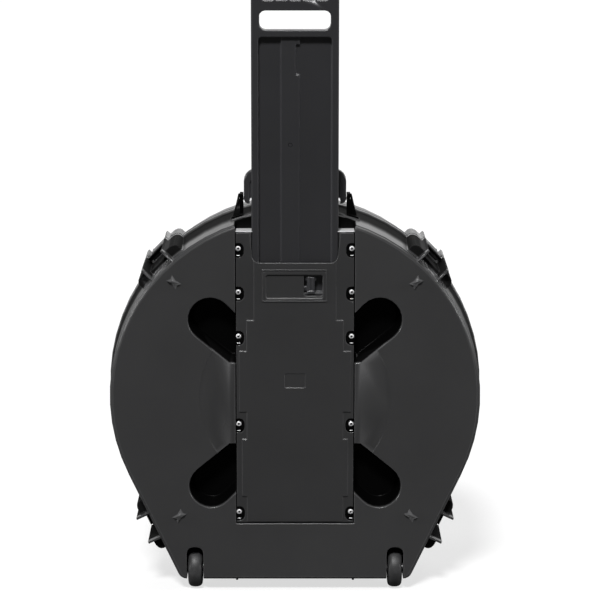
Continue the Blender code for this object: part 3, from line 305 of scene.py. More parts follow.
def moulded(name, rgb, roughness, grain, depth, edge_radius=0.0012, specular=0.45, painted_shade=None, dull=None):
    """Moulded plastic: a fine grain, slow clouding from the mould, and edges smoother and painted lighter, partly as
    rubbing wear and partly as a painted highlight; optionally painted shade where a mask says, and a rougher rim band.
    """
    finish = material(name)
    place = finish.place()
    cloud = finish.noise(place, 5.0, 4.0, 0.62)
    pebble = finish.cells(place, 1.0 / grain, feature="SMOOTH_F1")
    pitting = finish.noise(place, 2.4 / grain, 2.0)
    softened = finish.rounded(edge_radius)
    edge = finish.edges(softened)
    plain = finish.mix(cloud, tone(rgb, 0.84), tone(rgb, 1.16))
    rough = roughness + 0.10 * (cloud - 0.5) - 0.10 * edge
    # Lighter edges: partly rubbing wear, partly a painted highlight.
    wear = edge * (0.35 + 0.5 * cloud)
    # Painted shade: the masked places are darkened to a near-black colour, and the lighter edges fade there.
    if painted_shade:
        shaded = painted_shade(finish, place)
        plain = finish.mix(shaded, plain, tone(rgb, 0.04))
        wear = wear * (1.0 - 0.8 * shaded)
    # Painted shade by the rim and on the latch seats: a darker colour, and a rougher surface.
    if dull:
        dulled_and_shaded = dull(finish, place)
        plain = finish.mix(dulled_and_shaded, plain, tone(rgb, 0.20))
        rough = rough + 0.42 * dulled_and_shaded
    finish.set(
        Base_Color=finish.mix(wear, plain, tone(rgb, EDGE_WEAR_AND_HIGHLIGHT_TONE)),
        Roughness=rough,
        Normal=finish.bump(pebble + 0.4 * pitting, depth, softened))
    finish.shader.inputs["Specular IOR Level"].default_value = specular
    # Painted shade: in the masked places the gloss is mixed away to a plain dark colour.
    if painted_shade:
        painted_shade_share = shaded.maths("MAXIMUM", shaded, 0.8 * dulled_and_shaded) if dull else shaded
        finish.paint_flat_shade(0.9 * painted_shade_share, tone(rgb, 0.04))
    return finish.owner


def zinc_plate(name, rgb, roughness, brush=(900.0, 900.0, 60.0)):
    """Bright zinc plate: fine drawing lines and slight staining."""
    finish = material(name)
    place = finish.place()
    stain = finish.noise(place, 60.0, 4.0, 0.6)
    lines = finish.noise(finish.stretched(place, brush), 1.0, 3.0)
    finish.set(
        Base_Color=finish.mix(stain, tone(rgb, 0.86), tone(rgb, 1.10)),
        Roughness=roughness + 0.12 * (stain - 0.5) + 0.06 * lines,
        Normal=finish.bump(lines, 0.000015, finish.rounded(0.0003)))
    finish.shader.inputs["Metallic"].default_value = 0.4
    return finish.owner


def coated_steel(name, rgb, roughness):
    """Black coated steel: a slight orange peel, bare where the edges wear."""
    finish = material(name)
    place = finish.place()
    peel = finish.noise(place, 700.0, 2.0)
    chips = finish.noise(place, 420.0, 3.0)
    softened = finish.rounded(0.0004)
    worn = finish.edges(softened) * chips.between(0.54, 0.68)
    finish.set(
        Base_Color=finish.mix(worn, tone(rgb, 1.0), (0.45, 0.45, 0.45, 1.0)),
        Metallic=0.25 + 0.75 * worn,
        Roughness=roughness + 0.08 * (peel - 0.5),
        Normal=finish.bump(peel, 0.00004, softened))
    return finish.owner


def rubbery(name, rgb, roughness, scuff):
    """Rubber or cast tyre compound: dull, with pale scuffing where it touches the ground."""
    finish = material(name)
    place = finish.place()
    speckle = finish.noise(place, 800.0, 3.0, 0.6)
    smear = finish.noise(place, 55.0, 4.0, 0.6).between(0.46, 0.75)
    finish.set(
        Base_Color=finish.mix(scuff * smear, tone(rgb, 1.0), tone(rgb, 2.6)),
        Roughness=roughness + 0.14 * smear + 0.05 * (speckle - 0.5),
        Normal=finish.bump(speckle, 0.00005, finish.rounded(0.0005)))
    finish.shader.inputs["Specular IOR Level"].default_value = 0.35
    return finish.owner


def open_foam(name, rgb):
    """Open-cell foam: pores of two sizes, with painted shade inside them."""
    finish = material(name)
    place = finish.place()
    pores = finish.cells(place, 700.0)
    large = finish.cells(place, 260.0)
    shade = finish.noise(place, 18.0, 3.0)
    # Painted shade: the deeper a point lies in a pore, the darker its colour.
    depth = (pores * 0.5 + large * 0.5).between(0.10, 0.55)
    finish.set(
        Base_Color=finish.mix(depth, tone(rgb, 1.35), tone(rgb, 0.45)),
        Roughness=0.92 + 0.06 * (shade - 0.5),
        Normal=finish.bump(1.0 - depth, 0.0006))
    finish.shader.inputs["Specular IOR Level"].default_value = 0.12
    return finish.owner


def wool_felt(name, rgb):
    """Pressed wool felt: matted fibres."""
    finish = material(name)
    place = finish.place()
    across = finish.noise(finish.stretched(place, (2600.0, 300.0, 500.0)), 1.0, 3.0)
    along = finish.noise(finish.stretched(place, (350.0, 500.0, 2400.0)), 1.0, 3.0)
    fibres = across * 0.5 + along * 0.5
    finish.set(
        Base_Color=finish.mix(fibres, tone(rgb, 0.65), tone(rgb, 1.45)),
        Roughness=0.95,
        Normal=finish.bump(fibres, 0.0004))
    finish.shader.inputs["Sheen Weight"].default_value = 0.3
    return finish.owner


FINISHES = {}


def finish_of(slot):
    """The material of a slot, made once."""
    if slot not in FINISHES:
        c = colours()
        makers = {
            # The shell's finish gets painted shade in its hollows and by its rim; the cover's gets it in its niches,
            # beside the cover and on the brackets.
            "shell": lambda: moulded("shell_grained", c.shell, 0.31, sizes().shell_grain, 0.00005, 0.0028,
                                     painted_shade=painted_hollow_shade, dull=rim_roughening_and_painted_shade),
            "cover": lambda: moulded("cover_smooth", c.cover, 0.32, 0.0006, 0.00002, 0.0016, painted_shade=painted_niche_shade),
            "handle": lambda: moulded("handle_satin", c.handle, 0.36, 0.0007, 0.00003, 0.0034),
            "steel": lambda: zinc_plate("zinc_bright", c.zinc, 0.36),
            "dark_steel": lambda: coated_steel("steel_coated", c.coated, 0.42),
            "tyre": lambda: rubbery("tyre_compound", c.tyre, 0.46, 0.35),
            "hub": lambda: moulded("hub_nylon", c.hub, 0.44, 0.0005, 0.00002, 0.0006),
            "rubber": lambda: rubbery("rubber_dull", c.rubber, 0.70, 0.20),
            "foam": lambda: open_foam("foam_charcoal", c.foam),
            "felt": lambda: wool_felt("felt_grey", c.felt),
        }
        FINISHES[slot] = makers[slot]()
    return FINISHES[slot]


def node_box(node):
    low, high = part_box(node)
    return Vector(low), Vector(high)


def piece(name, bm, slot, body, replaces=(), turned_out=True):
    """Makes a finished piece of a bmesh and lets it ride on its body."""
    if turned_out:
        bmesh.ops.recalc_face_normals(bm, faces=bm.faces)
    mesh = bpy.data.meshes.new(name)
    bm.to_mesh(mesh)
    bm.free()
    mesh.materials.append(finish_of(slot))
    mesh.shade_smooth()
    mesh.set_sharp_from_angle(angle=math.radians(38))
    thing = bpy.data.objects.new(name, mesh)
    bpy.context.scene.collection.objects.link(thing)
    even = thing.modifiers.new("even_shading", "WEIGHTED_NORMAL")
    even.keep_sharp = True
    even.weight = 90
    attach(thing, body)
    if replaces:
        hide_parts(*replaces)
    return thing


def copied(node, levels=(), columns=()):
    """A merged copy of a solid of the construction, its flat faces whole but for cuts across their holes."""
    bm = bmesh.new()
    bm.from_mesh(NODES[node].data)
    bmesh.ops.remove_doubles(bm, verts=bm.verts, dist=MERGE)
    cuts = [((0.0, 0.0, level), (0.0, 0.0, 1.0)) for level in levels]
    cuts += [((column, 0.0, 0.0), (1.0, 0.0, 0.0)) for column in columns]
    for point, normal in cuts:
        geom = [*bm.verts, *bm.edges, *bm.faces]
        made = bmesh.ops.bisect_plane(bm, geom=geom, dist=1e-6, plane_co=point, plane_no=normal)["geom_cut"]
        for part in made:
            if isinstance(part, bmesh.types.BMEdge):
                part.seam = True
    bmesh.ops.dissolve_limit(bm, angle_limit=FLAT, verts=bm.verts, edges=bm.edges, delimit={"SEAM"})
    for edge in bm.edges:
        edge.seam = False
    return bm


def narrow_corners(edges):
    """The corners where another edge runs too close to a sharp one."""
    found = set()
    for edge in edges:
        for v in edge.verts:
            along = (edge.other_vert(v).co - v.co).normalized()
            for other in v.link_edges:
                if other is not edge and along.dot((other.other_vert(v).co - v.co).normalized()) > NARROW:
                    found.add(v)
    return found


def close_corners(bm, edges, reach):
    """The corners of edges that another corner lies close beside, and those corners."""
    tree = KDTree(len(bm.verts))
    bm.verts.ensure_lookup_table()
    for v in bm.verts:
        tree.insert(v.co, v.index)
    tree.balance()
    found = set()
    for edge in edges:
        a, b = (v.co for v in edge.verts)
        for place, index, _ in tree.find_range((a + b) / 2, (b - a).length / 2 + reach):
            v = bm.verts[index]
            if v not in edge.verts:
                foot, share = intersect_point_line(place, a, b)
                if 0.0 < share < 1.0 and (foot - place).length < reach:
                    found.update((v, *edge.verts))
    return found


def soften(bm, width, segments=2, sharp=SHARP, kept=()):
    """Rounds the sharp edges that have room for it and don't touch a kept vertex."""
    bm.verts.index_update()
    edges = [e for e in bm.edges if e.is_manifold and e.calc_face_angle(0.0) > sharp]
    crowded = {v for e in bm.edges if e.calc_length() < 1.6 * width for v in e.verts}
    crowded |= narrow_corners(edges) | close_corners(bm, edges, 2.1 * width) | set(kept)
    roomy = [e for e in edges if not crowded.intersection(e.verts)]
    bmesh.ops.bevel(bm, geom=roomy, offset=width, offset_type="OFFSET", segments=segments, profile=0.5,
                    affect="EDGES", clamp_overlap=False, material=-1)
    bmesh.ops.connect_verts_nonplanar(bm, angle_limit=BENT, faces=bm.faces)


def dressed(name, node, width, slot, body, segments=2, levels=(), columns=()):
    """A rounded copy of a solid, which stands for it."""
    bm = copied(node, levels, columns)
    soften(bm, width, segments)
    return piece(name, bm, slot, body, (node,), turned_out=False)


def spin(bm, profile, steps, matrix=Matrix(), closed=False):
    """Adds a profile of (along, radius) points, turned round X and then placed."""
    corners = [bm.verts.new((along, radius, 0.0)) for along, radius in profile]
    edges = [bm.edges.new(pair) for pair in zip(corners, corners[1:])]
    if closed:
        edges.append(bm.edges.new((corners[-1], corners[0])))
    before = set(bm.verts) - set(corners)
    bmesh.ops.spin(bm, geom=corners + edges, cent=(0, 0, 0), axis=(1, 0, 0), angle=math.tau, steps=steps,
                   use_merge=True)
    made = [v for v in bm.verts if v not in before]
    on_axis = [v for v in made if abs(v.co.y) < 1e-7 and abs(v.co.z) < 1e-7]
    bmesh.ops.remove_doubles(bm, verts=on_axis, dist=1e-6)
    made = [v for v in bm.verts if v not in before]
    bmesh.ops.transform(bm, matrix=matrix, verts=made)
    return made


def block(bm, x, y, z, width=0.0, matrix=Matrix(), segments=2):
    """Adds a box between two limits on each axis, its edges rounded, and then places it."""
    span = Matrix.Diagonal((x[1] - x[0], y[1] - y[0], z[1] - z[0], 1.0))
    middle = Matrix.Translation((sum(x) / 2, sum(y) / 2, sum(z) / 2))
    before = set(bm.verts)
    made = bmesh.ops.create_cube(bm, size=1.0, matrix=middle @ span)["verts"]
    if width:
        edges = list({e for v in made for e in v.link_edges})
        bmesh.ops.bevel(bm, geom=edges, offset=width, offset_type="OFFSET", segments=segments, profile=0.5,
                        affect="EDGES", clamp_overlap=True, material=-1)
    bmesh.ops.transform(bm, matrix=matrix, verts=[v for v in bm.verts if v not in before])


def facing_back(place):
    """Turns a body round X so that its X runs towards the lid, and places it."""
    return Matrix.Translation(place) @ Matrix.Rotation(math.pi / 2, 4, "Z")


def latch_frame(name):
    """The frame of a latch at its pivot: X along the rim, Y towards the lid, Z outwards."""
    joint = next(j for j in frame["joints"] if j["name"] == f"latch_{name}_lift")
    along = -Vector(joint["axis"])
    outward = along.cross(TOWARDS_LID)
    turn = Matrix((along, TOWARDS_LID, outward)).transposed().to_4x4()
    return Matrix.Translation(Vector(joint["pos_m"])) @ turn


def rivet(bm, matrix, radius=RIVET_RADIUS, high=RIVET_HIGH):
    """Adds a domed rivet head that stands on the XY plane."""
    dome = [(0.0, 0.0), (0.0, radius), (0.35 * high, 0.97 * radius), (0.75 * high, 0.72 * radius),
            (0.95 * high, 0.38 * radius), (high, 0.0)]
    spin(bm, dome, 16, matrix @ Matrix.Rotation(-math.pi / 2, 4, "Y"))


def hexagonal(verts, centre, axis, apothem):
    """Draws a round ring of vertices in to a hexagon round an axis."""
    for v in verts:
        offset = v.co - centre
        along = axis * offset.dot(axis)
        radial = offset - along
        angle = math.atan2(radial.dot(Vector((0, 0, 1))), radial.dot(Vector((1, 0, 0))))
        bend = (angle % (math.pi / 3)) - math.pi / 6
        v.co = centre + along + radial.normalized() * (apothem / math.cos(bend))


class CaseOperator(Operator):
    """Base of the operators that make the case's pieces."""
    bl_options = {"REGISTER", "UNDO"}

    def execute(self, context):
        self.make()
        return {"FINISHED"}


class CASE_OT_shells(CaseOperator):
    """Both halves of the case with their rounded edges, and the seal between them"""
    bl_idname = "case.shells"
    bl_label = "Shells"

    studs = ((-0.222, 0.591), (0.222, 0.591), (-0.216, 0.147), (0.216, 0.147))
    stud_levels = (0.147, 0.591)
    stud_reach = 0.0215
    stud_tip = (0.0095, 0.0142)
    stud_tip_turn = math.radians(32)
    stud_end = (0.0050, 0.0086)
    stud_waist = (0.0022, 0.0048)

    def shape_studs(self, bm):
        """Turns each four-pointed stud into the waisted one of the photograph, and gives its vertices back."""
        moved = []
        for x, z in self.studs:
            out = math.atan2(z - CENTRE_Z, x)
            for v in bm.verts:
                dx = v.co.x - x
                dz = v.co.z - z
                if v.co.y < FACE_Y + 0.0005 and 0.001 < math.hypot(dx, dz) < self.stud_reach:
                    ring = 0 if v.co.y < FACE_Y - 0.001 else 1
                    corner = round((math.atan2(dz, dx) - out) / (math.pi / 4)) % 8
                    if corner % 2:
                        turn = round((corner - 1) / 4 + 0.1) * math.pi
                        turn += self.stud_tip_turn * (1 if corner in (1, 5) else -1)
                        reach = self.stud_tip[ring]
                    else:
                        turn = corner * math.pi / 4
                        reach = self.stud_end[ring] if corner % 4 == 0 else self.stud_waist[ring]
                    v.co.x = x + reach * math.cos(out + turn)
                    v.co.z = z + reach * math.sin(out + turn)
                    moved.append(v)
        bmesh.ops.remove_doubles(bm, verts=moved, dist=MERGE)
        return [v for v in moved if v.is_valid]

    def make(self):
        edge = sizes().shell_edge
        bm = copied("back_shell", self.stud_levels)
        soften(bm, edge, kept=self.shape_studs(bm))
        piece("back_half", bm, "shell", "back_case", ("back_shell",), turned_out=False)
        dressed("lid_half", "front_shell", edge, "shell", "lid")
        dressed("seal_strip", "rim_seal", sizes().small_edge, "rubber", "back_case")


class CASE_OT_cover(CaseOperator):
    """The plate over the handle's channel, its niche tabs and the two guides under it"""
    bl_idname = "case.cover"
    bl_label = "Handle Cover"

    levels = (0.3650, 0.5825, 0.6400)
    tab_half = 0.0030
    tab_high = 0.0013
    tab_drop = 0.0128
    bead = 0.0019
    bead_proud = 0.0006
    label = (-0.0605, 0.0585, 0.5545, 0.6145)
    cap_thick = 0.0010

    def make(self):
        edge = sizes().cover_edge
        rows = [node_box(f"cover_screw_{number:02d}") for number in range(1, 11)]
        levels = sorted({round((low.z + high.z) / 2, 4) for low, high in rows})
        dressed("cover_plate", "handle_cover", edge, "cover", "back_case", levels=levels + [*self.levels])
        for name, _ in SIDES:
            dressed(f"guide_rail_{name}", f"handle_guide_{name}", sizes().small_edge, "cover", "back_case")
            self.guide_cap(name)
        self.label_bead()
        bm = bmesh.new()
        for number in range(1, 11):
            low, high = node_box(f"cover_screw_{number:02d}")
            x = (low.x + high.x) / 2
            z = (low.z + high.z) / 2 - self.tab_drop
            block(bm, (x - self.tab_half, x + self.tab_half), (low.y + 0.0006, low.y + 0.0032),
                  (z - self.tab_high / 2, z + self.tab_high / 2), 0.0009)
        piece("niche_tabs", bm, "steel", "back_case")

    def guide_cap(self, name):
        """The bright wear plate on a guide's upper end."""
        low, high = node_box(f"handle_guide_{name}")
        bm = bmesh.new()
        block(bm, (low.x + 0.0010, high.x - 0.0010), (low.y + 0.0010, high.y - 0.0010),
              (high.z - 0.0001, high.z + self.cap_thick), 0.0003)
        piece(f"guide_cap_{name}", bm, "steel", "back_case")

    def label_bead(self):
        """The raised bead round the bare label recess."""
        left, right, bottom, top = self.label
        face = node_box("handle_cover")[0].y
        y = (face - self.bead_proud, face + 0.0010)
        bm = bmesh.new()
        for z in (bottom, top - self.bead):
            block(bm, (left, right), y, (z, z + self.bead), 0.0006)
        for x in (left, right - self.bead):
            block(bm, (x, x + self.bead), y, (bottom + 0.0012, top - 0.0012), 0.0006)
        piece("label_bead", bm, "cover", "back_case")


class CASE_OT_screws(CaseOperator):
    """The ten cover screws, with domed heads and hexagonal sockets, and a dark disc of painted shade deep in each
    socket
    """
    bl_idname = "case.screws"
    bl_label = "Cover Screws"

    head_thick = 0.0024
    washer = 0.0007
    socket_deep = 0.0036

    def make(self):
        socket_shade = bmesh.new()
        for number in range(1, 11):
            node = f"cover_screw_{number:02d}"
            low, high = node_box(node)
            centre = (low + high) / 2
            radius = (high.x - low.x) / 2
            seat = self.head_thick
            length = high.y - low.y
            socket = sizes().socket_radius
            bm = bmesh.new()
            profile = [(self.socket_deep, 0.0), (self.socket_deep, socket), (0.0002, socket * 1.03),
                       (0.0, socket + 0.0003), (0.0001, 0.64 * radius), (0.0005, 0.74 * radius),
                       (0.0011, 0.83 * radius), (seat - self.washer, 0.88 * radius),
                       (seat - self.washer, radius), (seat, radius), (seat, 0.0019),
                       (length - 0.0015, 0.0019), (length, 0.0010), (length, 0.0)]
            place = Vector((centre.x, low.y, centre.z))
            made = spin(bm, profile, 24, facing_back(place))
            deep = [v for v in made if (v.co - place).length < 1.6 * socket + self.socket_deep
                    and 1e-5 < Vector((v.co.x - place.x, v.co.z - place.z)).length < socket + 0.0002]
            hexagonal(deep, place, TOWARDS_LID, socket)
            piece(f"cover_bolt_{number:02d}", bm, "steel", "back_case", (node,))
            # A dark disc deep in each socket: painted shade where the deep socket would be in shadow.
            spin(socket_shade, [(0.0006, 0.0), (0.0006, socket - 0.0001), (0.0020, socket - 0.0001), (0.0020, 0.0)], 12,
                 facing_back(place))
        piece("socket_shade_discs", socket_shade, "rubber", "back_case")


class CASE_OT_pull_handle(CaseOperator):
    """The wide pull handle with its gate mark, and the spring finger that catches it"""
    bl_idname = "case.pull_handle"
    bl_label = "Pull Handle"

    gate_radius = 0.004
    gate_z = 0.842
    gate_x = -0.0085
    web_deep = 0.0065

    def make(self):
        bm = copied("pull_handle", (0.70, 0.85))
        soften(bm, sizes().handle_edge, 3)
        low, _ = node_box("pull_handle")
        place = Vector((self.gate_x, low.y + self.web_deep + 0.0001, self.gate_z))
        ring = [(0.0, 0.0), (-0.0001, self.gate_radius - 0.0008), (-0.0003, self.gate_radius - 0.0005),
                (-0.0003, self.gate_radius), (0.0004, self.gate_radius + 0.0002), (0.0004, 0.0)]
        spin(bm, ring, 24, facing_back(place))
        piece("handle_panel", bm, "handle", "pull_handle", ("pull_handle",), turned_out=False)
        bm = copied("handle_catch", (0.5835,))
        soften(bm, sizes().metal_edge)
        low, high = node_box("handle_catch")
        y = (low.y + 0.0006, low.y + 0.0018)
        for x in (0.0250, 0.0316):
            block(bm, (x, x + 0.0012), y, (0.5755, 0.5990), 0.0003)
        block(bm, (0.0240, 0.0336), y, (0.5695, 0.5735), 0.0005)
        piece("catch_finger", bm, "handle", "catch", ("handle_catch",), turned_out=False)


class CASE_OT_wheels(CaseOperator):
    """The two wheels, each with its tyre, spoked hub and bearings, and their axles"""
    bl_idname = "case.wheels"
    bl_label = "Wheels"

    spokes = 6

    def make(self):
        for name, side in SIDES:
            low, high = node_box(f"wheel_tyre_{name}")
            place = Matrix.Translation((low + high) / 2)
            half = (high.x - low.x) / 2
            radius = (high.z - low.z) / 2
            self.tyre(name, place, half, radius)
            self.hub(name, place, half)
            for end in ("inner", "outer"):
                self.bearing(name, end)
            self.axle(name)

    def tyre(self, name, place, half, radius):
        bm = bmesh.new()
        seat = radius - 0.014
        crown = [(half - 0.0009, seat), (half - 0.0002, seat + 0.0012), (half, seat + 0.0040),
                 (half - 0.0006, radius - 0.0062), (half - 0.0024, radius - 0.0034),
                 (half - 0.0052, radius - 0.0013), (half - 0.0088, radius - 0.0003), (0.0006, radius)]
        parting = [(0.0003, radius - 0.00008)]
        tread = [(-a, r) for a, r in crown + parting] + [(a, r) for a, r in reversed(crown + parting)]
        spin(bm, tread, 96, place, closed=True)
        piece(f"tyre_{name}", bm, "tyre", f"wheel_{name}", (f"wheel_tyre_{name}",))

    def hub(self, name, place, half):
        bm = bmesh.new()
        low, high = node_box(f"wheel_bearing_{name}_inner")
        boss = (high.z - low.z) / 2
        rim = 0.0240 - 0.0001
        face = half - 0.002
        section = [(-face, boss + 0.0002), (-face, boss + 0.0028), (-0.0055, boss + 0.0042), (-0.0045, rim - 0.0050),
                   (-face, rim - 0.0030), (-face, rim)]
        section += [(-a, r) for a, r in reversed(section)]
        section += [(0.0040, boss + 0.0002), (0.0040, 0.0052), (-0.0040, 0.0052), (-0.0040, boss + 0.0002)]
        spin(bm, section, 72, place, closed=True)
        for spoke in range(self.spokes):
            turn = place @ Matrix.Rotation(math.tau * spoke / self.spokes, 4, "X")
            block(bm, (-face + 0.0012, face - 0.0012), (-0.0013, 0.0013), (boss + 0.0015, rim - 0.0022), 0.0005, turn)
        piece(f"hub_{name}", bm, "hub", f"wheel_{name}", (f"wheel_hub_{name}",))

    def bearing(self, name, end):
        node = f"wheel_bearing_{name}_{end}"
        low, high = node_box(node)
        half = (high.x - low.x) / 2
        outer = (high.z - low.z) / 2
        bore = 0.00442
        bm = bmesh.new()
        face = [(half, bore), (half, bore + 0.0016), (half - 0.0005, bore + 0.0018), (half - 0.0007, outer - 0.0022),
                (half - 0.0002, outer - 0.0019), (half, outer - 0.0016), (half, outer - 0.0003),
                (half - 0.0003, outer)]
        ring = [(-a, r) for a, r in face] + [(a, r) for a, r in reversed(face)]
        spin(bm, ring, 40, Matrix.Translation((low + high) / 2), closed=True)
        piece(f"bearing_{name}_{end}", bm, "steel", f"wheel_{name}", (node,))

    def axle(self, name):
        node = f"wheel_axle_{name}"
        low, high = node_box(node)
        half = (high.x - low.x) / 2
        radius = (high.z - low.z) / 2
        bm = bmesh.new()
        end = [(half, 0.0), (half, radius - 0.0006), (half - 0.0006, radius)]
        spin(bm, [(-a, r) for a, r in end] + [(a, r) for a, r in reversed(end)], 32,
             Matrix.Translation((low + high) / 2))
        collar = [(-0.0008, radius), (-0.0008, radius + 0.0030), (0.0008, radius + 0.0030), (0.0008, radius)]
        for side in (-1, 1):
            place = Matrix.Translation((low + high) / 2 + Vector((side * 0.0146, 0.0, 0.0)))
            spin(bm, collar, 24, place, closed=True)
        piece(f"axle_{name}", bm, "steel", "back_case", (node,))


class CASE_OT_latches(CaseOperator):
    """The four latches: ribbed levers, riveted base plates and keepers, and pins"""
    bl_idname = "case.latches"
    bl_label = "Latches"

    ribs = 5
    rib_pitch = 0.0042

    def make(self):
        for name in LATCHES:
            at_pivot = latch_frame(name)
            self.lever(name, at_pivot)
            self.plates(name, at_pivot)

    def lever(self, name, at_pivot):
        bm = copied(f"latch_lever_{name}")
        soften(bm, sizes().small_edge)
        top = 0.0125 - PIVOT_OUT
        for rib in range(self.ribs):
            y = -PIVOT_IN - 0.026 + self.rib_pitch * rib
            block(bm, (-0.0140, 0.0140), (y, y + 0.0018), (top - 0.0006, top + 0.0008), 0.0006, at_pivot)
        block(bm, (-0.0150, 0.0150), (-PIVOT_IN + 0.004, -0.0120), (top - 0.0006, top + 0.0006), 0.0009, at_pivot)
        piece(f"lever_{name}", bm, "shell", f"latch_{name}", (f"latch_lever_{name}",), turned_out=False)

    def plates(self, name, at_pivot):
        plate = PLATE_TOP - PIVOT_OUT - 0.0001
        for kind, body, rows in (("base", "lid", (-0.034, 0.0085)), ("keeper", "back_case", (-0.0610, -0.0925))):
            bm = copied(f"latch_{kind}_{name}")
            soften(bm, sizes().metal_edge)
            for y in rows:
                for side in (-1, 1):
                    rivet(bm, at_pivot @ Matrix.Translation((side * 0.0105, y, plate)))
            piece(f"{kind}_plate_{name}", bm, "dark_steel", body, (f"latch_{kind}_{name}",), turned_out=False)
        bm = bmesh.new()
        half = 0.0172
        end = [(half, 0.0), (half, 0.0013), (half - 0.0005, 0.0018)]
        spin(bm, [(-a, r) for a, r in end] + [(a, r) for a, r in reversed(end)], 20, at_pivot)
        piece(f"pivot_{name}", bm, "steel", "lid", (f"latch_pin_{name}",))


class CASE_OT_carry_handle(CaseOperator):
    """The folding carrying handle, its two brackets and their pins"""
    bl_idname = "case.carry_handle"
    bl_label = "Carrying Handle"

    web_in = 0.0765
    web_out = 0.0855
    web_half = 0.0060
    web_lift = -0.0020
    web_drop = 0.0160
    ribs = 9
    rib_pitch = 0.0105

    def make(self):
        bm = copied("carry_handle")
        soften(bm, sizes().carry_edge, 3, math.radians(50))
        low, high = node_box("carry_handle")
        y = (low.y + high.y) / 2
        under = high.z - 0.017
        for rib in range(self.ribs):
            x = (rib - (self.ribs - 1) / 2) * self.rib_pitch
            block(bm, (x - 0.0016, x + 0.0016), (y - 0.0082, y + 0.0082), (under - 0.0010, under + 0.004), 0.0009)
        foot = node_box("carry_pin_left")[1].z
        for _, side in SIDES:
            x = sorted((side * self.web_in, side * self.web_out))
            block(bm, x, (y - self.web_half, y + self.web_half), (foot + self.web_lift, high.z - self.web_drop), 0.0012)
        piece("carry_grip", bm, "handle", "carry_handle", ("carry_handle",), turned_out=False)
        for name, side in SIDES:
            dressed(f"bracket_{name}", f"carry_bracket_{name}", sizes().small_edge, "cover", "back_case")
            self.pin(name, side)

    def pin(self, name, side):
        node = f"carry_pin_{name}"
        low, high = node_box(node)
        half = (high.x - low.x) / 2
        radius = (high.z - low.z) / 2
        end = [(half, 0.0), (half, radius - 0.0005), (half - 0.0005, radius)]
        bm = bmesh.new()
        place = Matrix.Translation((low + high) / 2)
        spin(bm, [(-a, r) for a, r in end] + [(a, r) for a, r in reversed(end)], 24, place)
        piece(f"carry_pivot_{name}", bm, "steel", "back_case", (node,))


class CASE_OT_hinge(CaseOperator):
    """The lid's hinge at the foot, with its rivets and pin, and the two front feet"""
    bl_idname = "case.hinge"
    bl_label = "Hinge and Feet"

    rivets = 5
    rivet_pitch = 0.034

    def make(self):
        for name, body, side in (("back", "back_case", -1), ("lid", "lid", 1)):
            node = f"hinge_leaf_{name}"
            low, high = node_box(node)
            far = low.y if side < 0 else high.y
            bm = copied(node, columns=(0.0,))
            soften(bm, sizes().metal_edge)
            underside = high.z - 0.0019
            for number in range(self.rivets):
                x = (number - (self.rivets - 1) / 2) * self.rivet_pitch
                place = Matrix.Translation((x, far - side * 0.0095, underside)) @ Matrix.Rotation(math.pi, 4, "X")
                rivet(bm, place)
            piece(f"leaf_{name}", bm, "dark_steel", body, (node,), turned_out=False)
        low, high = node_box("hinge_pin")
        half = (high.x - low.x) / 2
        radius = (high.z - low.z) / 2
        bm = bmesh.new()
        spin(bm, [(-half, 0.0), (-half, radius), (half, radius), (half, 0.0)], 20,
             Matrix.Translation((low + high) / 2))
        piece("pin_of_hinge", bm, "steel", "back_case", ("hinge_pin",))
        for name, _ in SIDES:
            dressed(f"foot_{name}", f"front_foot_{name}", 0.0012, "rubber", "lid", 3)


class CASE_OT_pads(CaseOperator):
    """The two foam pads, waved like an egg tray and soft at the rim"""
    bl_idname = "case.pads"
    bl_label = "Foam Pads"

    rings = 58
    soft_rim = 0.005

    def make(self):
        self.pad("back_pad", "back_liner", "back_case", 0.0302, 1)
        self.pad("lid_pad", "lid_liner", "lid", 0.0, -1)

    def pad(self, name, node, body, hole, open_side):
        """A pad whose waved face looks to the open side, 1 towards the lid and -1 towards the back."""
        low, high = node_box(node)
        radius = (high.x - low.x) / 2
        thick = high.y - low.y
        backing = low.y if open_side > 0 else high.y
        swing = sizes().foam_swing
        level = thick - swing - 0.0002
        run = [hole + self.soft_rim * (1 if hole else 0) + (radius - self.soft_rim - hole) * step / self.rings
               for step in range(self.rings)]
        waved = [(level, r) for r in run if r < radius - self.soft_rim]
        rim = [(level - self.soft_rim * (1 - math.cos(a)), radius - self.soft_rim * (1 - math.sin(a)))
               for a in (math.pi / 2 * step / 5 for step in range(6))]
        profile = waved + rim + [(0.0, radius), (0.0, hole)]
        if hole:
            profile += [(level - self.soft_rim, hole), (level - 0.3 * self.soft_rim, hole + 0.4 * self.soft_rim)]
        bm = bmesh.new()
        turn = Matrix.Rotation(math.pi / 2 * open_side, 4, "Z")
        centre = Vector(((low.x + high.x) / 2, backing, (low.z + high.z) / 2))
        made = spin(bm, profile, sizes().foam_crests, Matrix.Translation(centre) @ turn, closed=bool(hole))
        k = math.tau / sizes().foam_pitch
        for v in made:
            above = (v.co.y - backing) * open_side
            out = Vector((v.co.x - centre.x, v.co.z - centre.z)).length
            if above > level - 0.0001 and out < radius:
                fade = min(1.0, (radius - out) / 0.02) * min(1.0, (out - hole + 0.001) / 0.012 if hole else 1.0)
                wave = math.sin(k * v.co.x) * math.sin(k * v.co.z)
                v.co.y += open_side * swing * fade * wave
        thing = piece(name, bm, "foam", body, (node,))


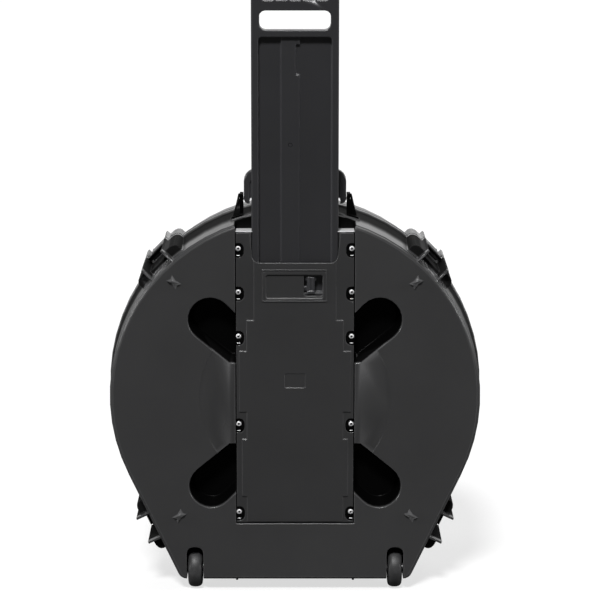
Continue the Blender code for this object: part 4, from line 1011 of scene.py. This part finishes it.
class CASE_OT_post(CaseOperator):
    """The threaded centre post on its flange, with its felt washers and wing nut"""
    bl_idname = "case.post"
    bl_label = "Centre Post"

    thread_deep = 0.0007
    thread_start = 0.020
    steps = 16
    flange_screws = 3

    def make(self):
        low, high = node_box("centre_post")
        centre = Vector(((low.x + high.x) / 2, low.y, (low.z + high.z) / 2))
        flange = (high.x - low.x) / 2
        length = high.y - low.y
        radius = 0.0055
        core = radius - self.thread_deep
        bm = bmesh.new()
        spin(bm, [(0.0, 0.0), (0.0, flange), (0.0024, flange), (0.0030, flange - 0.0006), (0.0030, radius + 0.0035),
                  (0.0050, radius + 0.0012), (self.thread_start, radius - 0.0002), (self.thread_start + 0.0006, core),
                  (length - 0.0012, core), (length, core - 0.0010), (length, 0.0)], 48, facing_back(centre))
        self.thread(bm, centre, core, length)
        for number in range(self.flange_screws):
            angle = math.tau * number / self.flange_screws + 0.5
            offset = Vector((math.cos(angle), 0.0, math.sin(angle))) * 0.0205
            place = Matrix.Translation(centre + offset + Vector((0.0, 0.0029, 0.0)))
            rivet(bm, place @ Matrix.Rotation(-math.pi / 2, 4, "X"), 0.0034, 0.0014)
        piece("post", bm, "steel", "back_case", ("centre_post",))
        self.washers()
        dressed("wing", "wing_nut", sizes().small_edge, "steel", "wing_nut")

    def thread(self, bm, centre, core, length):
        """A ridge wound round the post by one spin that climbs."""
        pitch = sizes().thread_pitch
        turns = int((length - self.thread_start - 0.004) / pitch)
        start = self.thread_start + 0.0012
        ridge = [(0.0, core - 0.0002), (0.30 * pitch, core + self.thread_deep * 0.86),
                 (0.45 * pitch, core + self.thread_deep * 0.86), (0.80 * pitch, core - 0.0002)]
        before = set(bm.verts)
        corners = [bm.verts.new((start + along, r, 0.0)) for along, r in ridge]
        face = bm.faces.new(corners)
        climb = Vector((pitch / self.steps, 0.0, 0.0))
        bmesh.ops.spin(bm, geom=[face, *face.edges, *corners], cent=(0, 0, 0), axis=(1, 0, 0), dvec=climb,
                       angle=math.tau * turns, steps=self.steps * turns, use_merge=False)
        made = [v for v in bm.verts if v not in before]
        bmesh.ops.transform(bm, matrix=facing_back(centre), verts=made)

    def washers(self):
        for name in ("lower", "upper"):
            node = f"felt_washer_{name}"
            low, high = node_box(node)
            thick = high.y - low.y
            outer = (high.x - low.x) / 2
            bore = 0.0060
            bow = 0.0022
            side = [(bow * (1 - math.sin(a)), outer - bow * (1 - math.cos(a)))
                    for a in (math.pi / 2 * step / 4 for step in range(5))]
            ring = side[::-1] + [(thick - along, r) for along, r in side]
            ring += [(thick, bore + 0.0008), (thick - 0.0008, bore), (0.0008, bore), (0.0, bore + 0.0008)]
            bm = bmesh.new()
            spin(bm, ring, 64, facing_back(Vector(((low.x + high.x) / 2, low.y, (low.z + high.z) / 2))), closed=True)
            piece(f"washer_{name}", bm, "felt", "back_case", (node,))


class CASE_OT_stage(CaseOperator):
    """The white studio floor, the soft light and the camera"""
    bl_idname = "case.stage"
    bl_label = "Stage"

    floor_reach = 45.0
    floor_lift = 0.68
    floor_bounce = 0.10
    room_light = 0.06
    front_gloss = 0.06
    lamps = (("front_key", (-0.12, -0.64, 0.76), 3.60, 12),
             ("rear_softbox", (0.10, 0.72, 0.62), 0.90, 48),
             ("left_strip", (-0.95, -0.10, 0.30), 1.20, 14),
             ("right_strip", (0.95, -0.10, 0.30), 1.20, 14))

    def make(self):
        self.floor()
        self.room()
        for name, source, strength, angle in self.lamps:
            self.sun(name, source, strength, angle)
        self.camera()

    def floor(self):
        """White and lightly shadowed to the camera, and dark to other rays, so that it throws little light back."""
        bm = bmesh.new()
        bmesh.ops.create_grid(bm, x_segments=1, y_segments=1, size=self.floor_reach)
        mesh = bpy.data.meshes.new("floor")
        bm.to_mesh(mesh)
        bm.free()
        finish = material("studio_floor")
        seen = finish.node("ShaderNodeLightPath", output="Is Camera Ray")
        finish.set(Base_Color=finish.mix(seen, tone(colours().floor, self.floor_bounce), tone(colours().floor, 1.0)),
                   Roughness=0.9)
        finish.shader.inputs["Specular IOR Level"].default_value = 0.0
        white = finish.node("ShaderNodeEmission", {}, {"Color": (1.0, 1.0, 1.0, 1.0), "Strength": 1.0})
        mixed = finish.node("ShaderNodeMixShader", {}, {0: seen * self.floor_lift,
                                                        1: Value(finish, finish.shader.outputs[0]), 2: white})
        finish.tree.links.new(mixed.socket, finish.tree.nodes["Material Output"].inputs["Surface"])
        mesh.materials.append(finish.owner)
        floor = bpy.data.objects.new("floor", mesh)
        bpy.context.scene.collection.objects.link(floor)

    def room(self):
        """White to the camera, and to gloss a white room that is dim on the side the back faces."""
        world = bpy.data.worlds.new("studio")
        bpy.context.scene.world = world
        finish = Finish(world, "Background")
        path = finish.tree.nodes.new("ShaderNodeLightPath")
        seen = Value(finish, path.outputs["Is Camera Ray"])
        gloss = Value(finish, path.outputs["Is Glossy Ray"])
        through = Value(finish, path.outputs["Is Transmission Ray"])
        way = finish.node("ShaderNodeTexCoord", output="Generated")
        x, y, z = finish.parts(way)
        behind = y.between(-0.20, 0.30) * (1.0 - z.between(0.20, 0.36))
        beside = x.maths("ABSOLUTE", x).between(0.78, 0.92)
        above = z.between(0.78, 0.96)
        lit = x.maths("MAXIMUM", x.maths("MAXIMUM", behind, beside), above)
        mirrored = self.front_gloss + (1.0 - self.front_gloss) * lit
        plain = finish.node("ShaderNodeMath", {"operation": "MAXIMUM"}, {0: seen, 1: through})
        strength = plain + (1.0 - plain) * (gloss * mirrored + (1.0 - gloss) * self.room_light)
        finish.set(Color=(1.0, 1.0, 1.0, 1.0), Strength=strength)

    def sun(self, name, source, strength, angle):
        data = bpy.data.lights.new(name, "SUN")
        data.energy = strength
        data.angle = math.radians(angle)
        lamp = bpy.data.objects.new(name, data)
        lamp.rotation_mode = "QUATERNION"
        lamp.rotation_quaternion = Vector(source).to_track_quat("Z", "Y")
        bpy.context.scene.collection.objects.link(lamp)

    def camera(self):
        data = bpy.data.cameras.new("camera")
        data.lens = CAMERA_LENS
        data.sensor_width = 36.0
        camera = bpy.data.objects.new("camera", data)
        camera.location = (0.0, -CAMERA_BACK, CAMERA_Z)
        camera.rotation_euler = (math.radians(90 - CAMERA_TILT), 0.0, 0.0)
        bpy.context.scene.collection.objects.link(camera)
        bpy.context.scene.camera = camera
        bpy.context.scene.view_settings.view_transform = "Standard"


OPERATORS = (CASE_OT_shells, CASE_OT_cover, CASE_OT_screws, CASE_OT_pull_handle, CASE_OT_wheels, CASE_OT_latches,
             CASE_OT_carry_handle, CASE_OT_hinge, CASE_OT_pads, CASE_OT_post, CASE_OT_stage)


class CASE_PT_looks(Panel):
    """Lists the case's pieces, sizes and colours"""
    bl_idname = "CASE_PT_looks"
    bl_label = "Cymbal Case"
    bl_space_type = "VIEW_3D"
    bl_region_type = "UI"
    bl_category = "Cymbal Case"

    def draw(self, context):
        for operator in OPERATORS:
            self.layout.operator(operator.bl_idname)
        for group in (context.scene.case_sizes, context.scene.case_colours):
            column = self.layout.column(align=True)
            for name in group.__annotations__:
                column.prop(group, name)


CLASSES = (CaseSizes, CaseColours, *OPERATORS, CASE_PT_looks)


def register():
    for cls in CLASSES:
        bpy.utils.register_class(cls)
    bpy.types.Scene.case_sizes = PointerProperty(type=CaseSizes)
    bpy.types.Scene.case_colours = PointerProperty(type=CaseColours)


def unregister():
    del bpy.types.Scene.case_colours
    del bpy.types.Scene.case_sizes
    for cls in reversed(CLASSES):
        bpy.utils.unregister_class(cls)


def main():
    register()
    bpy.ops.case.stage()
    bpy.ops.case.shells()
    bpy.ops.case.cover()
    bpy.ops.case.screws()
    bpy.ops.case.pull_handle()
    bpy.ops.case.wheels()
    bpy.ops.case.latches()
    bpy.ops.case.carry_handle()
    bpy.ops.case.hinge()
    bpy.ops.case.pads()
    bpy.ops.case.post()


if __name__ == "__main__":
    main()
